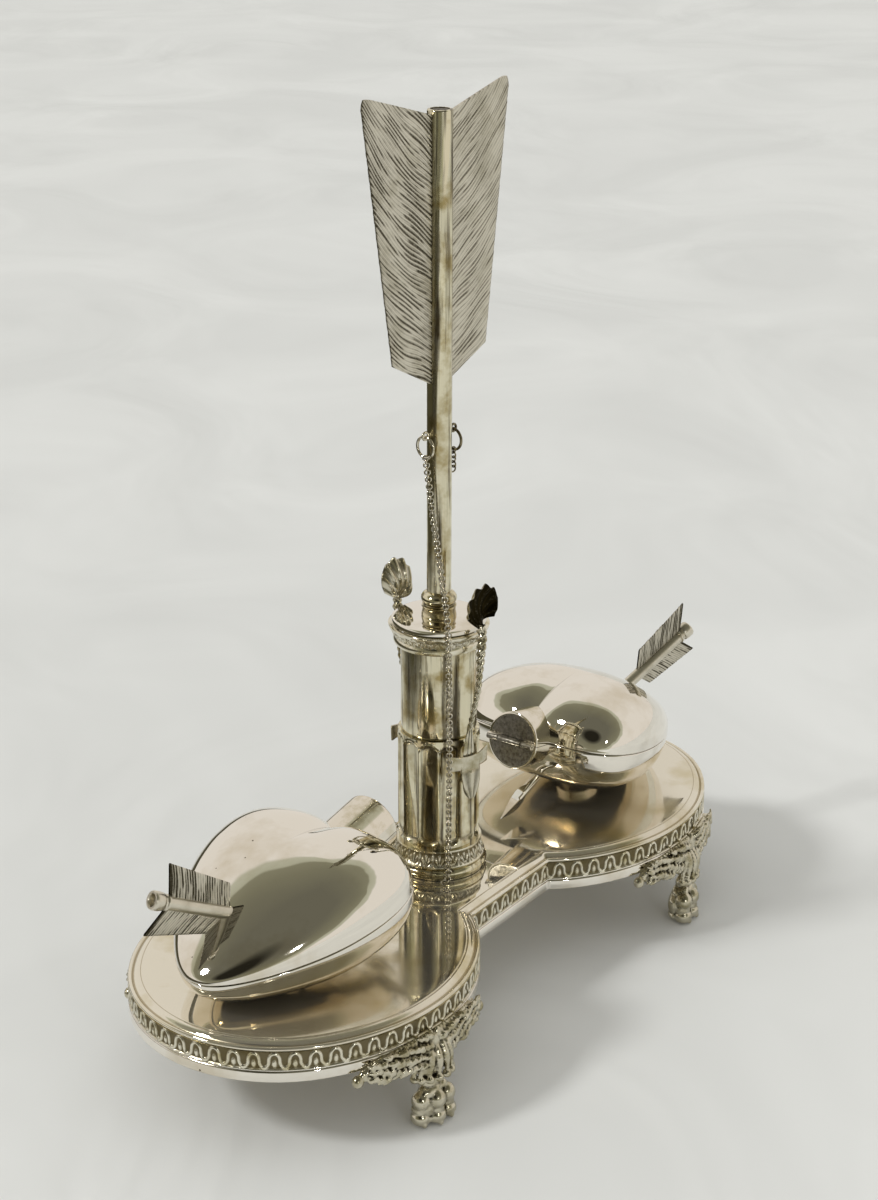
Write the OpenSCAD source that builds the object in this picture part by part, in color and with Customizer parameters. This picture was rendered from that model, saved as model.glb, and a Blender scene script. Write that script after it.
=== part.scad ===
// Desk inkstand: two heart boxes and a quiver with an upright arrow, on a footed two-lobed tray.
// Frame: X along the tray, Z up, origin on the ground below the middle of the tray.

/* [Tray] */
// Distance from the middle of the tray to the middle of each lobe
lobe_x = 78; // [76:1:80]
// Half length of a lobe, along the tray
lobe_a = 64; // [62:1:66]
// Half width of a lobe, across the tray
lobe_b = 56.3; // [56:0.1:58]
// Radius of the rounder ends of a lobe
lobe_end_r = 52; // [51:0.5:53]
// Half width of the bridge between the lobes
bridge_w = 31.7; // [30:0.1:34]
// Height of the tray's top face above the ground
plate_z = 43; // [42:0.5:45]
// Thickness of the silver sheet of the tray
sheet = 1.2; // [1:0.1:1.6]
// Height of the ornamented band
band_h = 6.4; // [6:0.1:7]
// Height of the plain skirt below the band
skirt_h = 4.6; // [4:0.1:5]

/* [Quiver] */
// Turn of the quiver on its rod, seen from above
quiver_yaw = -9; // [-12:1:0]
// Radius of the fluted lower part
body_r = 14.4; // [14:0.1:15]
// Radius of the plain upper part
neck_r = 13.4; // [13:0.1:14]
// Radius of the top disc
lid_r = 16.5; // [16:0.1:16.6]
// Height of the top disc's face above the tray
lid_z = 95.3; // [94:0.1:97]
// Number of flutes around the lower part
flutes = 12; // [10:1:12]

/* [Arrow] */
// Radius of the arrow's shaft
shaft_r = 4.26; // [4:0.02:4.4]
// Height of the end of the shaft above the tray
shaft_top = 270; // [266:1:272]
// Reach of the two vanes at their upper corners, left then right
vane_top = [36.5, 33];
// Reach of the vanes at their lower corners
vane_low = 22.7; // [21:0.1:24]
// Thickness of a vane
vane_t = 1; // [0.8:0.1:1.2]

/* [Hearts] */
// Distance from the quiver's axis to a heart's reference point
heart_x = 89.2; // [89:0.1:90.5]
// Height of the seam above the tray at the reference point
heart_z = 22.4; // [22.3:0.1:22.8]
// Slope of the seam, down towards the tip
heart_tilt = 10.7; // [10:0.1:10.8]
// Turn of each heart about the quiver, left then right
heart_yaw = [0, -2.1];
// Height of the lid's dome above the seam
dome_h = 21.4; // [21:0.1:22]
// Depth of the bowl below the seam
bowl_h = 19.5; // [19:0.1:19.6]
// Thickness of the hearts' walls
wall = 1.2; // [1:0.1:1.4]
// Radius of the stub that carries the hinge
stub_r = 10.8; // [10.5:0.1:11]
// End of each stub, measured back along the heart, left then right
stub_end = [-50, -44.4];
// Gap of the seam between lid and bowl
seam = 0.2; // [0.15:0.05:0.3]

/* [Spoons and chain] */
// Distance of a spoon's stem from the quiver's axis
spoon_r = 20; // [19.8:0.1:20.5]
// Middle radius of a chain link
link_r = 1.12; // [1.1:0.01:1.15]
// Radius of the chain's wire
wire_r = 0.27; // [0.24:0.01:0.28]

/* [Hidden] */
$fn = 64;

// Heights on the tray's side, from the top face down to the skirt's lower edge
rim_drop = 2.4;
rim_in = 4.2;
rim_steps = 4;
band_top = plate_z - rim_drop;
band_low = band_top - band_h;
skirt_low = band_low - skirt_h;
band_in = 0.6;
// Centres and radii of a lobe's four arcs
end_off = lobe_a - lobe_end_r;
side_gap = lobe_b - lobe_end_r;
side_off = (end_off ^ 2 - side_gap ^ 2) / (2 * side_gap);
side_r = side_off + lobe_b;
meet = atan2(side_off, end_off);
// Feet: place along the tray and the size of the paw
foot_x = 84;
foot_turn = 18;
toe_gap = 5.4;
toe_r = 3.3;
leaf_t = 2.2;
leaf_half = 31;
stud_r = 1.2;
stud_l = 5.2;
stud_head_r = 2.1;
stud_head_at = 1;
stud_head_h = 1.2;
fit = 0.05;
// Quiver: heights above the tray
foot_ring_h = 4.6;
foot_ring_r = 17.3;
foot_ring_edge = 1.5;
foot_band_top = 11;
flute_top = 52;
neck_top = 86.6;
band_flare = 93;
flute_r = 3.3;
flute_depth = 1.5;
bore_r = 10.6;
rod_r = 1.5;
collar_mid = 99.8;
collar_top = 104.4;
collar_r = 6.1;
// Rings and eyes on the shaft
eye_x = 6.8;
eye_z = 161.6;
eye_r = 1.25;
eye_wire = 0.45;
ring_r = 3.7;
ring_wire = 0.5;
ring_top = eye_z - eye_r + eye_wire + ring_wire + 0.04;
// Brackets and spoons: heights above the tray
side_turn = -9;
plate_r = 19.1;
bracket_t = 0.8;
bracket_top = 48.2;
bracket_h = 4.2;
bracket_half = 9;
bracket_rise = 1.5;
pendant_low = 32;
post_z = 38;
tail_y = 17.25;
tail_t = 0.8;
tail_low = 40.2;
tail_top = 61;
bowl_base = 95;
bowl_lean = 8;
bowl_len = 17;
bowl_wide = 0.4;
bowl_depth = 5.2;
// Hearts: outline, then the section's two powers and the drop at the tip, for lid and for bowl
tip_u = 47;
inner_u = -35.5;
mid_w = 34.5;
egg = 0.34;
blunt = 0.54;
ring_n = 48;
lat_n = 8;
lid_section = [0.78, 0.85, 0.646];
bowl_section = [0.52, 0.9, 0.23];
cleft = 0.22;
cleft_w = 6;
stub_in = -28;
knuckle_r = 1.3;
pin_r = 0.5;
knuckle_l = 5;
pot_r = 16;
pot_u = 1;
rest_r = 9;
rest_h = 6;
// Chain: route of its links, above the tray, chosen by hand
chain_route = [[-6.72, 1.06, 154.5], [-8.2, -3.3, 133], [-10.4, -9, 110], [-12.2, -12.2, 98.5],
    [-13.1, -13.1, 94.4], [-14.8, -14.8, 52], [-14.8, -14.8, 42], [-13.5, -13.6, 8], [-13.4, -13.7, 3.4],
    [-14.4, -13.6, 1.5], [-17.2, -12.2, 1.5]];
link_pitch = 2 * (link_r - wire_r) - 0.04;
silver = "silver";

// ---- Plan of the tray ----

function arc(c, r, a, b, n) = [for (k = [1 : n]) let (t = a + (b - a) * k / n)
    [c[0] + r * cos(t), c[1] + r * sin(t)]];
// A quarter of the outline, moved in by inset: from the bridge round the lobe to its far end
function quarter(inset) = let (w = bridge_w - inset, r = lobe_end_r - inset, join = 180 - asin(w / r)) concat(
    [[lobe_x - end_off + r * cos(join), w]],
    arc([lobe_x - end_off, 0], r, join, 180 - meet, 3),
    arc([lobe_x, -side_off], side_r - inset, 180 - meet, meet, 12),
    arc([lobe_x + end_off, 0], r, meet, 0, 8));
function turned(q, sx, sy) = [for (k = [len(q) - 2 : -1 : 0]) [sx * q[k][0], sy * q[k][1]]];

module plan(inset) {
    q = quarter(inset);
    polygon(concat(q, turned(q, 1, -1), -q, turned(q, -1, 1)));
}

module wall_ring(outer, inner, low, high) {
    translate([0, 0, low]) linear_extrude(high - low) difference() {
        plan(outer);
        plan(inner);
    }
}

module at_hearts(side) {
    turn = side < 0 ? 180 + heart_yaw[0] : heart_yaw[1];
    rotate([0, 0, turn]) translate([heart_x, 0, plate_z]) children();
}

// The top, with the sloping moulding between its flat face and the band
module tray_plate() {
    step = rim_drop / rim_steps;
    color(silver) difference() {
        union() {
            translate([0, 0, plate_z - sheet]) linear_extrude(sheet) plan(rim_in);
            for (k = [0 : rim_steps - 1])
                wall_ring(rim_in * (1 - (k + 1) / rim_steps), rim_in + 0.5,
                    plate_z - (k + 1) * step, plate_z - k * step);
        }
        translate([0, 0, plate_z - 2 * sheet]) cylinder(r = rod_r + fit, h = 3 * sheet);
        for (s = [-1, 1]) at_hearts(s) translate([0, 0, -2 * sheet]) cylinder(r = rod_r + fit, h = 3 * sheet);
    }
}

module tray_band() {
    color(silver) wall_ring(band_in, band_in + sheet, band_low, band_top);
}

module tray_skirt() {
    color(silver) difference() {
        wall_ring(0, sheet, skirt_low, band_low);
        for (sx = [-1, 1], sy = [-1, 1])
            foot_place(sx, sy) stud_axis() cylinder(r = stud_r + fit, h = stud_l);
    }
}

// ---- Feet ----

module foot_place(sx, sy) {
    translate([sx * foot_x, sy * lobe_b, 0]) mirror([0, sy > 0 ? 1 : 0, 0]) children();
}

module stud_axis() {
    translate([0, 4, skirt_low + skirt_h / 2]) rotate([90, 0, 0]) children();
}

// The scalloped upper edge of the leaves that spread along the skirt
function leaf_edge(n) = [for (k = [0 : n])
    let (x = leaf_half * (1 - 2 * k / n), lobe = abs(sin(k * 180 * 5 / n)))
    [x, skirt_low + 1.6 + 2.8 * lobe * (1 - abs(x) / 44)]];

module leaves(sx, sy) {
    low = [[-leaf_half, 26], [-30, 23.2], [-25, 23.2], [-20, 22.2], [-13, 22.8], [-8, 20.5],
        [8, 20.5], [13, 22.8], [20, 22.2], [25, 23.2], [30, 23.2], [leaf_half, 26]];
    intersection() {
        translate([0, 0, 20]) linear_extrude(20) difference() {
            plan(-leaf_t);
            plan(-fit);
        }
        foot_place(sx, sy) translate([0, 15, 0]) rotate([90, 0, 0]) linear_extrude(35)
            polygon(concat(low, leaf_edge(20)));
    }
}

// Knee, ankle and paw, turned a little outwards
module paw() {
    hull() {
        translate([0, 0.2, 26]) scale([1.35, 0.72, 1]) sphere(r = 4.6, $fn = 32);
        translate([0, -0.6, 20.6]) scale([1.35, 0.72, 1]) sphere(r = 5.2, $fn = 32);
    }
    hull() {
        translate([0, 0.8, 16.5]) sphere(r = 3, $fn = 32);
        translate([0, 1, 10]) sphere(r = 3.6, $fn = 32);
    }
    hull() for (x = [-1, 1]) {
        translate([x * 4.5, 2.4, 0]) cylinder(r = 3, h = 11, $fn = 32);
        translate([x * 4.5, -0.4, 0]) cylinder(r = 3, h = 9, $fn = 32);
    }
    for (k = [-1 : 1]) {
        translate([k * toe_gap, -1.4 + 0.9 * k * k, toe_r - 0.4]) sphere(r = toe_r, $fn = 40);
        translate([k * (toe_gap - 0.4), -0.6 + 0.8 * k * k, 9.2]) sphere(r = toe_r - 0.3, $fn = 40);
    }
}

module foot(sx, sy) {
    color(silver) difference() {
        union() {
            leaves(sx, sy);
            foot_place(sx, sy) rotate([0, 0, sx * foot_turn]) paw();
        }
        foot_place(sx, sy) {
            stud_axis() cylinder(r = stud_r + fit, h = stud_l + fit);
            stud_axis() cylinder(r = stud_head_r + fit, h = stud_head_at + stud_head_h + fit);
            translate([-20, -20, -10]) cube([40, 40, 10]);
        }
        translate([0, 0, skirt_low - fit]) linear_extrude(20) plan(-fit);
    }
}

// A stud with a round head on the inside of the skirt
module foot_stud(sx, sy) {
    color(silver) foot_place(sx, sy) stud_axis() {
        cylinder(r = stud_r, h = stud_l);
        translate([0, 0, stud_head_at]) cylinder(r = stud_head_r, h = stud_head_h);
    }
}

// ---- Quiver ----

module on_quiver() {
    translate([0, 0, plate_z]) rotate([0, 0, quiver_yaw]) children();
}

module quiver_foot() {
    color(silver) on_quiver() rotate_extrude() difference() {
        union() {
            square([foot_ring_r - foot_ring_edge, foot_ring_h]);
            translate([0, 0.8]) square([foot_ring_r, foot_ring_h - 2]);
            translate([foot_ring_r - foot_ring_edge, foot_ring_edge]) circle(foot_ring_edge);
        }
        square([rod_r + fit, foot_ring_h]);
        translate([0, -10]) square([40, 10]);
    }
}

module quiver_foot_band() {
    color(silver) on_quiver() rotate_extrude()
        polygon([[bore_r, foot_ring_h], [16.2, foot_ring_h], [16, 6], [15, 8.6], [14.9, foot_band_top],
            [bore_r, foot_band_top]]);
}

module quiver_body() {
    color(silver) on_quiver() difference() {
        translate([0, 0, foot_band_top]) cylinder(r = body_r, h = flute_top + 1 - foot_band_top);
        translate([0, 0, foot_band_top - 1]) cylinder(r = bore_r, h = flute_top);
        for (k = [0 : flutes - 1]) rotate([0, 0, k * 360 / flutes])
            translate([body_r - flute_depth + flute_r, 0, 0]) {
                translate([0, 0, foot_band_top + 4.5])
                    cylinder(r = flute_r, h = flute_top - foot_band_top - 8);
                translate([0, 0, foot_band_top + 4.5]) sphere(r = flute_r);
                translate([0, 0, flute_top - 3.5]) sphere(r = flute_r);
            }
    }
}

module quiver_neck() {
    color(silver) on_quiver() rotate_extrude() translate([bore_r, flute_top + 1])
        square([neck_r - bore_r, neck_top - flute_top - 1]);
}

module quiver_band() {
    color(silver) on_quiver() rotate_extrude()
        polygon([[bore_r, neck_top], [neck_r + 0.5, neck_top], [neck_r + 0.6, 87.8], [14.6, 90.6],
            [15.9, 92.4], [15.9, band_flare], [bore_r, band_flare]]);
}

module quiver_lid() {
    color(silver) on_quiver() rotate_extrude() difference() {
        union() {
            translate([0, band_flare]) square([lid_r - 0.6, lid_z - band_flare]);
            translate([0, band_flare + 0.6]) square([lid_r, lid_z - band_flare - 1]);
        }
        square([rod_r + fit, 2 * lid_z]);
    }
}

// ---- Rod, nut and arrow ----

module tie_rod() {
    color(silver) translate([0, 0, plate_z - 6]) cylinder(r = rod_r, h = 6 + collar_top - 1);
}

module hex_nut(low) {
    difference() {
        translate([0, 0, low]) cylinder(r = 4, h = 3, $fn = 6);
        translate([0, 0, low - 1]) cylinder(r = rod_r + fit, h = 5);
    }
}

module tie_nut() {
    color(silver) hex_nut(plate_z - sheet - 3);
}

module arrow_collar() {
    bead = (collar_top - collar_mid) / 2;
    color(silver) translate([0, 0, plate_z]) rotate_extrude() difference() {
        union() {
            translate([0, lid_z]) square([collar_r - 0.2, collar_mid - lid_z - 0.5]);
            translate([0, lid_z]) square([collar_r - 1, collar_mid - lid_z]);
            translate([0, collar_mid]) square([collar_r - bead, 2 * bead]);
            translate([collar_r - bead, collar_mid + bead]) circle(bead);
        }
        square([rod_r + fit, collar_top - 1]);
        translate([-20, 0]) square([20, 2 * lid_z]);
    }
}

module arrow_shaft() {
    color(silver) translate([0, 0, plate_z + collar_top]) {
        cylinder(r = shaft_r, h = shaft_top - collar_top - 0.8);
        translate([0, 0, shaft_top - collar_top - 0.8]) cylinder(r1 = shaft_r, r2 = shaft_r - 0.8, h = 0.8);
    }
}

// A vane stands out from the shaft; side is -1 or 1
module arrow_vane(side) {
    reach = vane_top[side < 0 ? 0 : 1];
    color(silver) on_quiver() mirror([side < 0 ? 1 : 0, 0, 0]) difference() {
        translate([0, vane_t / 2, 0]) rotate([90, 0, 0]) linear_extrude(vane_t) polygon([[0, 267.5],
            [reach - 4.5, 278.2], [reach - 1.4, 277.6], [reach, 274.6], [vane_low, 188.8], [0, 177.5]]);
        translate([0, 0, 100]) cylinder(r = shaft_r, h = 200);
    }
}

// ---- Rings and chain ----

module ring_eye(side) {
    color(silver) on_quiver() translate([side * eye_x, 0, eye_z]) {
        rotate([90, 0, 0]) rotate_extrude() translate([eye_r, 0]) circle(eye_wire);
        translate([-side * eye_r, 0, 0]) rotate([0, -side * 90, 0])
            cylinder(r = eye_wire, h = eye_x - eye_r - shaft_r + 0.1);
    }
}

module ring(side) {
    color(silver) on_quiver() translate([side * eye_x, 0, ring_top - ring_r]) rotate([0, 90, 0])
        rotate_extrude() translate([ring_r, 0]) circle(ring_wire);
}

module link() {
    rotate([90, 0, 0]) rotate_extrude($fn = 32) translate([link_r, 0]) circle(wire_r, $fn = 16);
}

function seg_len(p, k) = norm(p[k + 1] - p[k]);
function run(p, k) = k == 0 ? 0 : run(p, k - 1) + seg_len(p, k - 1);
function which(p, s, k = 0) = k == len(p) - 2 || run(p, k + 1) > s ? k : which(p, s, k + 1);
function along(p, s) = let (k = which(p, s)) p[k] + (s - run(p, k)) * (p[k + 1] - p[k]) / seg_len(p, k);

module chain() {
    count = floor(run(chain_route, len(chain_route) - 1) / link_pitch);
    color(silver) translate([0, 0, plate_z]) for (k = [0 : count - 1]) {
        a = along(chain_route, (k + 0.3) * link_pitch);
        b = along(chain_route, (k + 0.7) * link_pitch);
        d = b - a;
        translate((a + b) / 2) rotate([0, acos(d[2] / norm(d)), atan2(d[1], d[0])])
            rotate([0, 0, 90 * (k % 2 + 1)]) link();
    }
}

// A short end of chain that hangs from the right ring
module chain_stub() {
    first = ring_top - 2 * ring_r + ring_wire + 0.04 - link_r + wire_r;
    color(silver) on_quiver() for (k = [0 : 4])
        translate([eye_x, 0, first - k * link_pitch]) rotate([0, 0, 90 * (k % 2)]) link();
}

// ---- Brackets and spoons; side is -1 at the front, 1 at the back ----

module at_side(side) {
    turn = side < 0 ? side_turn : 180 + side_turn;
    on_quiver() rotate([0, 0, turn]) children();
}

// A curved plate with raised ends and a round pendant, on a short post
module bracket(side) {
    upper = [for (k = [-4 : 4]) let (t = k / 4) [bracket_half * t, bracket_top + bracket_rise * t * t]];
    lower = [for (k = [4 : -1 : 2]) let (t = k / 4)
        [bracket_half * t, bracket_top - bracket_h + bracket_rise * t * t]];
    pendant = [[3.9, 41.5], [3.7, 37], [2.6, 33.8], [1, pendant_low + 0.2], [0, pendant_low]];
    half = concat(lower, pendant);
    color(silver) at_side(side) {
        intersection() {
            translate([0, 0, pendant_low]) difference() {
                cylinder(r = plate_r, h = 20);
                translate([0, 0, -1]) cylinder(r = plate_r - bracket_t, h = 22);
            }
            rotate([90, 0, 0]) linear_extrude(30)
                polygon(concat(upper, half, [for (k = [len(half) - 2 : -1 : 0]) [-half[k][0], half[k][1]]]));
        }
        translate([0, 0, post_z]) rotate([90, 0, 0]) difference() {
            cylinder(r = 1.5, h = plate_r - bracket_t / 2);
            cylinder(r = 4, h = body_r - flute_depth - 0.4);
        }
    }
}

// A point of the fan-shaped shell: a is the rib's angle, t runs from the hinge to the scalloped edge
function shell_pt(a, t, off) =
    let (h = t * bowl_len * (1 + 0.04 * cos(12 * a)) * (1 - 0.22 * pow(a / 100, 2)))
    [bowl_wide * h * sin(a),
        bowl_depth * sin(165 * t) + 0.3 * cos(12 * a) * t + off,
        h * (0.48 + 0.48 * cos(a))];

module spoon_bowl(side) {
    n = 30;
    m = 7;
    pts = concat(
        [for (j = [1 : m]) for (i = [0 : n]) shell_pt(-100 + 200 * i / n, j / m, 0)],
        [for (j = [1 : m]) for (i = [0 : n]) shell_pt(-100 + 200 * i / n, j / m, -0.7)]);
    q = (n + 1) * m;
    function at(f, j, i) = f * q + j * (n + 1) + i;
    // Two triangles between four points, named by face, row and column
    function two(a, b, c, d, t) = t == 0 ? [at(a[0], a[1], a[2]), at(b[0], b[1], b[2]), at(c[0], c[1], c[2])]
        : [at(a[0], a[1], a[2]), at(c[0], c[1], c[2]), at(d[0], d[1], d[2])];
    faces = concat(
        [for (j = [0 : m - 2], i = [0 : n - 1], t = [0, 1])
            two([0, j, i], [0, j, i + 1], [0, j + 1, i + 1], [0, j + 1, i], t)],
        [for (j = [0 : m - 2], i = [0 : n - 1], t = [0, 1])
            two([1, j, i], [1, j + 1, i], [1, j + 1, i + 1], [1, j, i + 1], t)],
        [for (i = [0 : n - 1], t = [0, 1])
            two([0, m - 1, i], [0, m - 1, i + 1], [1, m - 1, i + 1], [1, m - 1, i], t)],
        [for (i = [0 : n - 1], t = [0, 1])
            two([0, 0, i + 1], [0, 0, i], [1, 0, i], [1, 0, i + 1], t)],
        [for (j = [0 : m - 2], t = [0, 1])
            two([0, j, 0], [0, j + 1, 0], [1, j + 1, 0], [1, j, 0], t)],
        [for (j = [0 : m - 2], t = [0, 1])
            two([0, j + 1, n], [0, j, n], [1, j, n], [1, j + 1, n], t)]);
    color(silver) at_side(side) translate([2.6, -spoon_r - 1.5, bowl_base]) rotate([0, bowl_lean, 0])
        polyhedron(pts, faces);
}

module rod_between(a, b, r) {
    d = b - a;
    translate(a) rotate([0, acos(d[2] / norm(d)), atan2(d[1], d[0])]) cylinder(r = r, h = norm(d));
}

module spoon_stem(side) {
    stops = [[0, -tail_y - 0.4, tail_top - 2], [1.2, -spoon_r - 1, 74], [2.2, -spoon_r - 1, 88],
        [2.8, -spoon_r - 0.8, bowl_base + 2]];
    radii = [0.9, 1, 1.1, 1.4];
    color(silver) at_side(side) {
        for (k = [0 : 2]) rod_between(stops[k], stops[k + 1], radii[k]);
        for (k = [0 : 3]) translate(stops[k]) sphere(r = radii[k]);
        translate([0, -tail_y + tail_t / 2, 0]) rotate([90, 0, 0]) linear_extrude(tail_t)
            polygon([[-3.4, tail_low], [3.4, tail_low], [3.2, 47], [1.4, tail_top],
                [-1.4, tail_top], [-3.2, 47]]);
    }
}

// ---- Hearts ----

// A heart's own frame: u towards the tip, v across, w up from the seam
module in_heart(side) {
    at_hearts(side) translate([0, 0, heart_z]) rotate([0, heart_tilt, 0]) children();
}

function plan_u(t) = (tip_u + inner_u) / 2 + (tip_u - inner_u) / 2 * cos(t);
function plan_v(t) = mid_w * sign(sin(t)) * pow(abs(sin(t)), cos(t) < 0 ? blunt : 1) * (1 - egg * cos(t));
function plan_pt(k, inset) = let (t = 360 * k / ring_n, p = [plan_u(t), plan_v(t)]) p * (1 - inset / norm(p));
function tip_fade(u, drop) = 1 - drop * pow(max(0, min(1, (u + 5) / 51)), 1.6);
function valley(u, v, depth) = 1 - depth * exp(-pow(v / cleft_w, 2)) * max(0, min(1, (-4 - u) / 28));

// Point k of ring j of a dome or bowl of height h; the rings crowd towards the top
function dome_pt(k, j, inset, h, sect, depth) =
    let (f = 90 * sin(90 * j / lat_n), p = plan_pt(k, inset) * pow(cos(f), sect[0]), base = seam / 2)
    [p[0], p[1], base + (h - inset - base) * pow(sin(f), sect[1])
        * tip_fade(p[0], sect[2]) * valley(p[0], p[1], depth)];

module half_shell(h, sect, depth) {
    n = ring_n;
    m = lat_n;
    pts = concat(
        [for (j = [0 : m - 1]) for (k = [0 : n - 1]) dome_pt(k, j, 0, h, sect, depth)],
        [dome_pt(0, m, 0, h, sect, depth)],
        [for (j = [0 : m - 1]) for (k = [0 : n - 1]) dome_pt(k, j, wall, h, sect, depth)],
        [dome_pt(0, m, wall, h, sect, depth)]);
    q = n * m + 1;
    function o(j, k) = j * n + k % n;
    function i(j, k) = q + j * n + k % n;
    faces = concat(
        [for (j = [0 : m - 2], k = [0 : n - 1], t = [0, 1]) t == 0
            ? [o(j, k), o(j + 1, k + 1), o(j, k + 1)] : [o(j, k), o(j + 1, k), o(j + 1, k + 1)]],
        [for (k = [0 : n - 1]) [o(m - 1, k), q - 1, o(m - 1, k + 1)]],
        [for (j = [0 : m - 2], k = [0 : n - 1], t = [0, 1]) t == 0
            ? [i(j, k), i(j, k + 1), i(j + 1, k + 1)] : [i(j, k), i(j + 1, k + 1), i(j + 1, k)]],
        [for (k = [0 : n - 1]) [i(m - 1, k), i(m - 1, k + 1), 2 * q - 1]],
        [for (k = [0 : n - 1], t = [0, 1]) t == 0
            ? [o(0, k), o(0, k + 1), i(0, k + 1)] : [o(0, k), i(0, k + 1), i(0, k)]]);
    polyhedron(pts, faces);
}

module heart_lid(side) {
    color(silver) in_heart(side) half_shell(dome_h, lid_section, cleft);
}

module heart_bowl(side) {
    color(silver) in_heart(side) mirror([0, 0, 1]) half_shell(bowl_h, bowl_section, 0);
}

// Where a heart's stub ends, and where its hinge pin lies
function end_u(side) = stub_end[side < 0 ? 0 : 1];
function hinge_u(side) = end_u(side) - 1.5;

// Half of the stub with its end disc; up is 1 on the lid and -1 on the bowl
module half_stub(side, up) {
    end = end_u(side);
    difference() {
        translate([end, 0, 0]) rotate([0, 90, 0]) cylinder(r = stub_r, h = stub_in - end);
        translate([end + wall, 0, 0]) rotate([0, 90, 0]) cylinder(r = stub_r - wall, h = 40);
        translate([end - 1, -20, up > 0 ? seam / 2 - 30 : -seam / 2]) cube([60, 40, 30]);
    }
}

module knuckle(side, v0, v1, up) {
    u = hinge_u(side);
    difference() {
        union() {
            translate([u, v0, 0]) rotate([-90, 0, 0]) cylinder(r = knuckle_r, h = v1 - v0);
            translate([u, v0, up > 0 ? 0.5 : -1.2]) cube([end_u(side) - u + 0.4, v1 - v0, 0.7]);
        }
        translate([u, v0 - 1, 0]) rotate([-90, 0, 0])
            cylinder(r = pin_r + (up > 0 ? fit : 0), h = v1 - v0 + 2);
    }
}

module lid_stub(side) {
    color(silver) in_heart(side) {
        half_stub(side, 1);
        knuckle(side, -2 * knuckle_l, -knuckle_l - 0.1, 1);
        knuckle(side, knuckle_l + 0.1, 2 * knuckle_l, 1);
    }
}

module bowl_stub(side) {
    color(silver) in_heart(side) {
        half_stub(side, -1);
        knuckle(side, -knuckle_l, knuckle_l, -1);
    }
}

module hinge_pin(side) {
    color(silver) in_heart(side) translate([hinge_u(side), -2 * knuckle_l - 0.4, 0]) rotate([-90, 0, 0])
        cylinder(r = pin_r, h = 4 * knuckle_l + 0.8);
}

// A flat deck that closes the bowl around the pot
module deck(side) {
    color(silver) in_heart(side) translate([0, 0, -3.4]) linear_extrude(0.8) difference() {
        polygon([for (k = [0 : ring_n - 1]) plan_pt(k, wall + 0.9)]);
        translate([pot_u, 0]) circle(pot_r + 0.1);
        translate([stub_in - 20, -stub_r - 0.2]) square([20.2, 2 * stub_r + 0.4]);
    }
}

module pot(side) {
    color("lightblue", 0.6) in_heart(side) translate([pot_u, 0, 0]) rotate_extrude() difference() {
        union() {
            translate([0, -16]) square([12, 13.4]);
            translate([0, -12]) square([pot_r, 9.4]);
            translate([12, -12]) circle(4);
            translate([0, -2.6]) square([pot_r + 1.6, 0.9]);
        }
        translate([0, -14.6]) square([11, 20]);
        translate([0, -11.8]) square([pot_r - 1.4, 20]);
        translate([-40, -40]) square([40, 80]);
    }
}

// A round seat under the bowl, cut to the slope of the bowl's bottom, with its stud
module heart_rest(side) {
    color(silver) {
        difference() {
            at_hearts(side) cylinder(r1 = rest_r, r2 = rest_r - 2, h = rest_h);
            in_heart(side) translate([-30, -30, 0.3 - bowl_h]) cube([60, 60, 40]);
        }
        at_hearts(side) translate([0, 0, -6]) cylinder(r = rod_r, h = 6);
    }
}

module heart_nut(side) {
    color(silver) at_hearts(side) hex_nut(-sheet - 3);
}

// ---- The arrow through each heart: tail on the lid, head on the bowl ----

// Foot of the tail on the lid and its end, above the tray, for the left and the right heart
tail_root = [[-108, -2.2, 26], [118, -4.5, 25]];
tail_tip = [[-142, 10.9, 43.2], [153, -15.4, 43.6]];
head_root = [[-57, 3, 13], [57, -5, 12]];
head_tip = [[-33, 5, 4.5], [33, -5, 4.2]];

module toward(a, b) {
    d = b - a;
    translate([0, 0, plate_z]) translate(a) rotate([0, 0, atan2(d[1], d[0])])
        rotate([0, acos(d[2] / norm(d)), 0]) children();
}

module tail_arrow(side) {
    k = side < 0 ? 0 : 1;
    length = norm(tail_tip[k] - tail_root[k]);
    color(silver) toward(tail_root[k], tail_tip[k]) {
        cylinder(r = 2.2, h = length - 4);
        translate([0, 0, length - 4.6]) cylinder(r = 3.5, h = 4.6);
        for (turn = [0, 180]) rotate([0, 0, turn]) translate([0, 0.4, 0]) rotate([90, 0, 0]) linear_extrude(0.8)
            polygon([[1.6, length - 30], [9.8, length - 25.5], [12.6, length - 2.5], [1.6, length - 7.6]]);
    }
}

module head_arrow(side) {
    k = side < 0 ? 0 : 1;
    length = norm(head_tip[k] - head_root[k]);
    color(silver) toward(head_root[k], head_tip[k]) {
        cylinder(r = 1.7, h = length - 13);
        translate([0, 0.5, 0]) rotate([90, 0, 0]) linear_extrude(1)
            polygon([[-1, length - 14], [-4.4, length - 11], [0, length],
                [4.4, length - 11], [1, length - 14]]);
    }
}

// ---- Assembly ----

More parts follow.
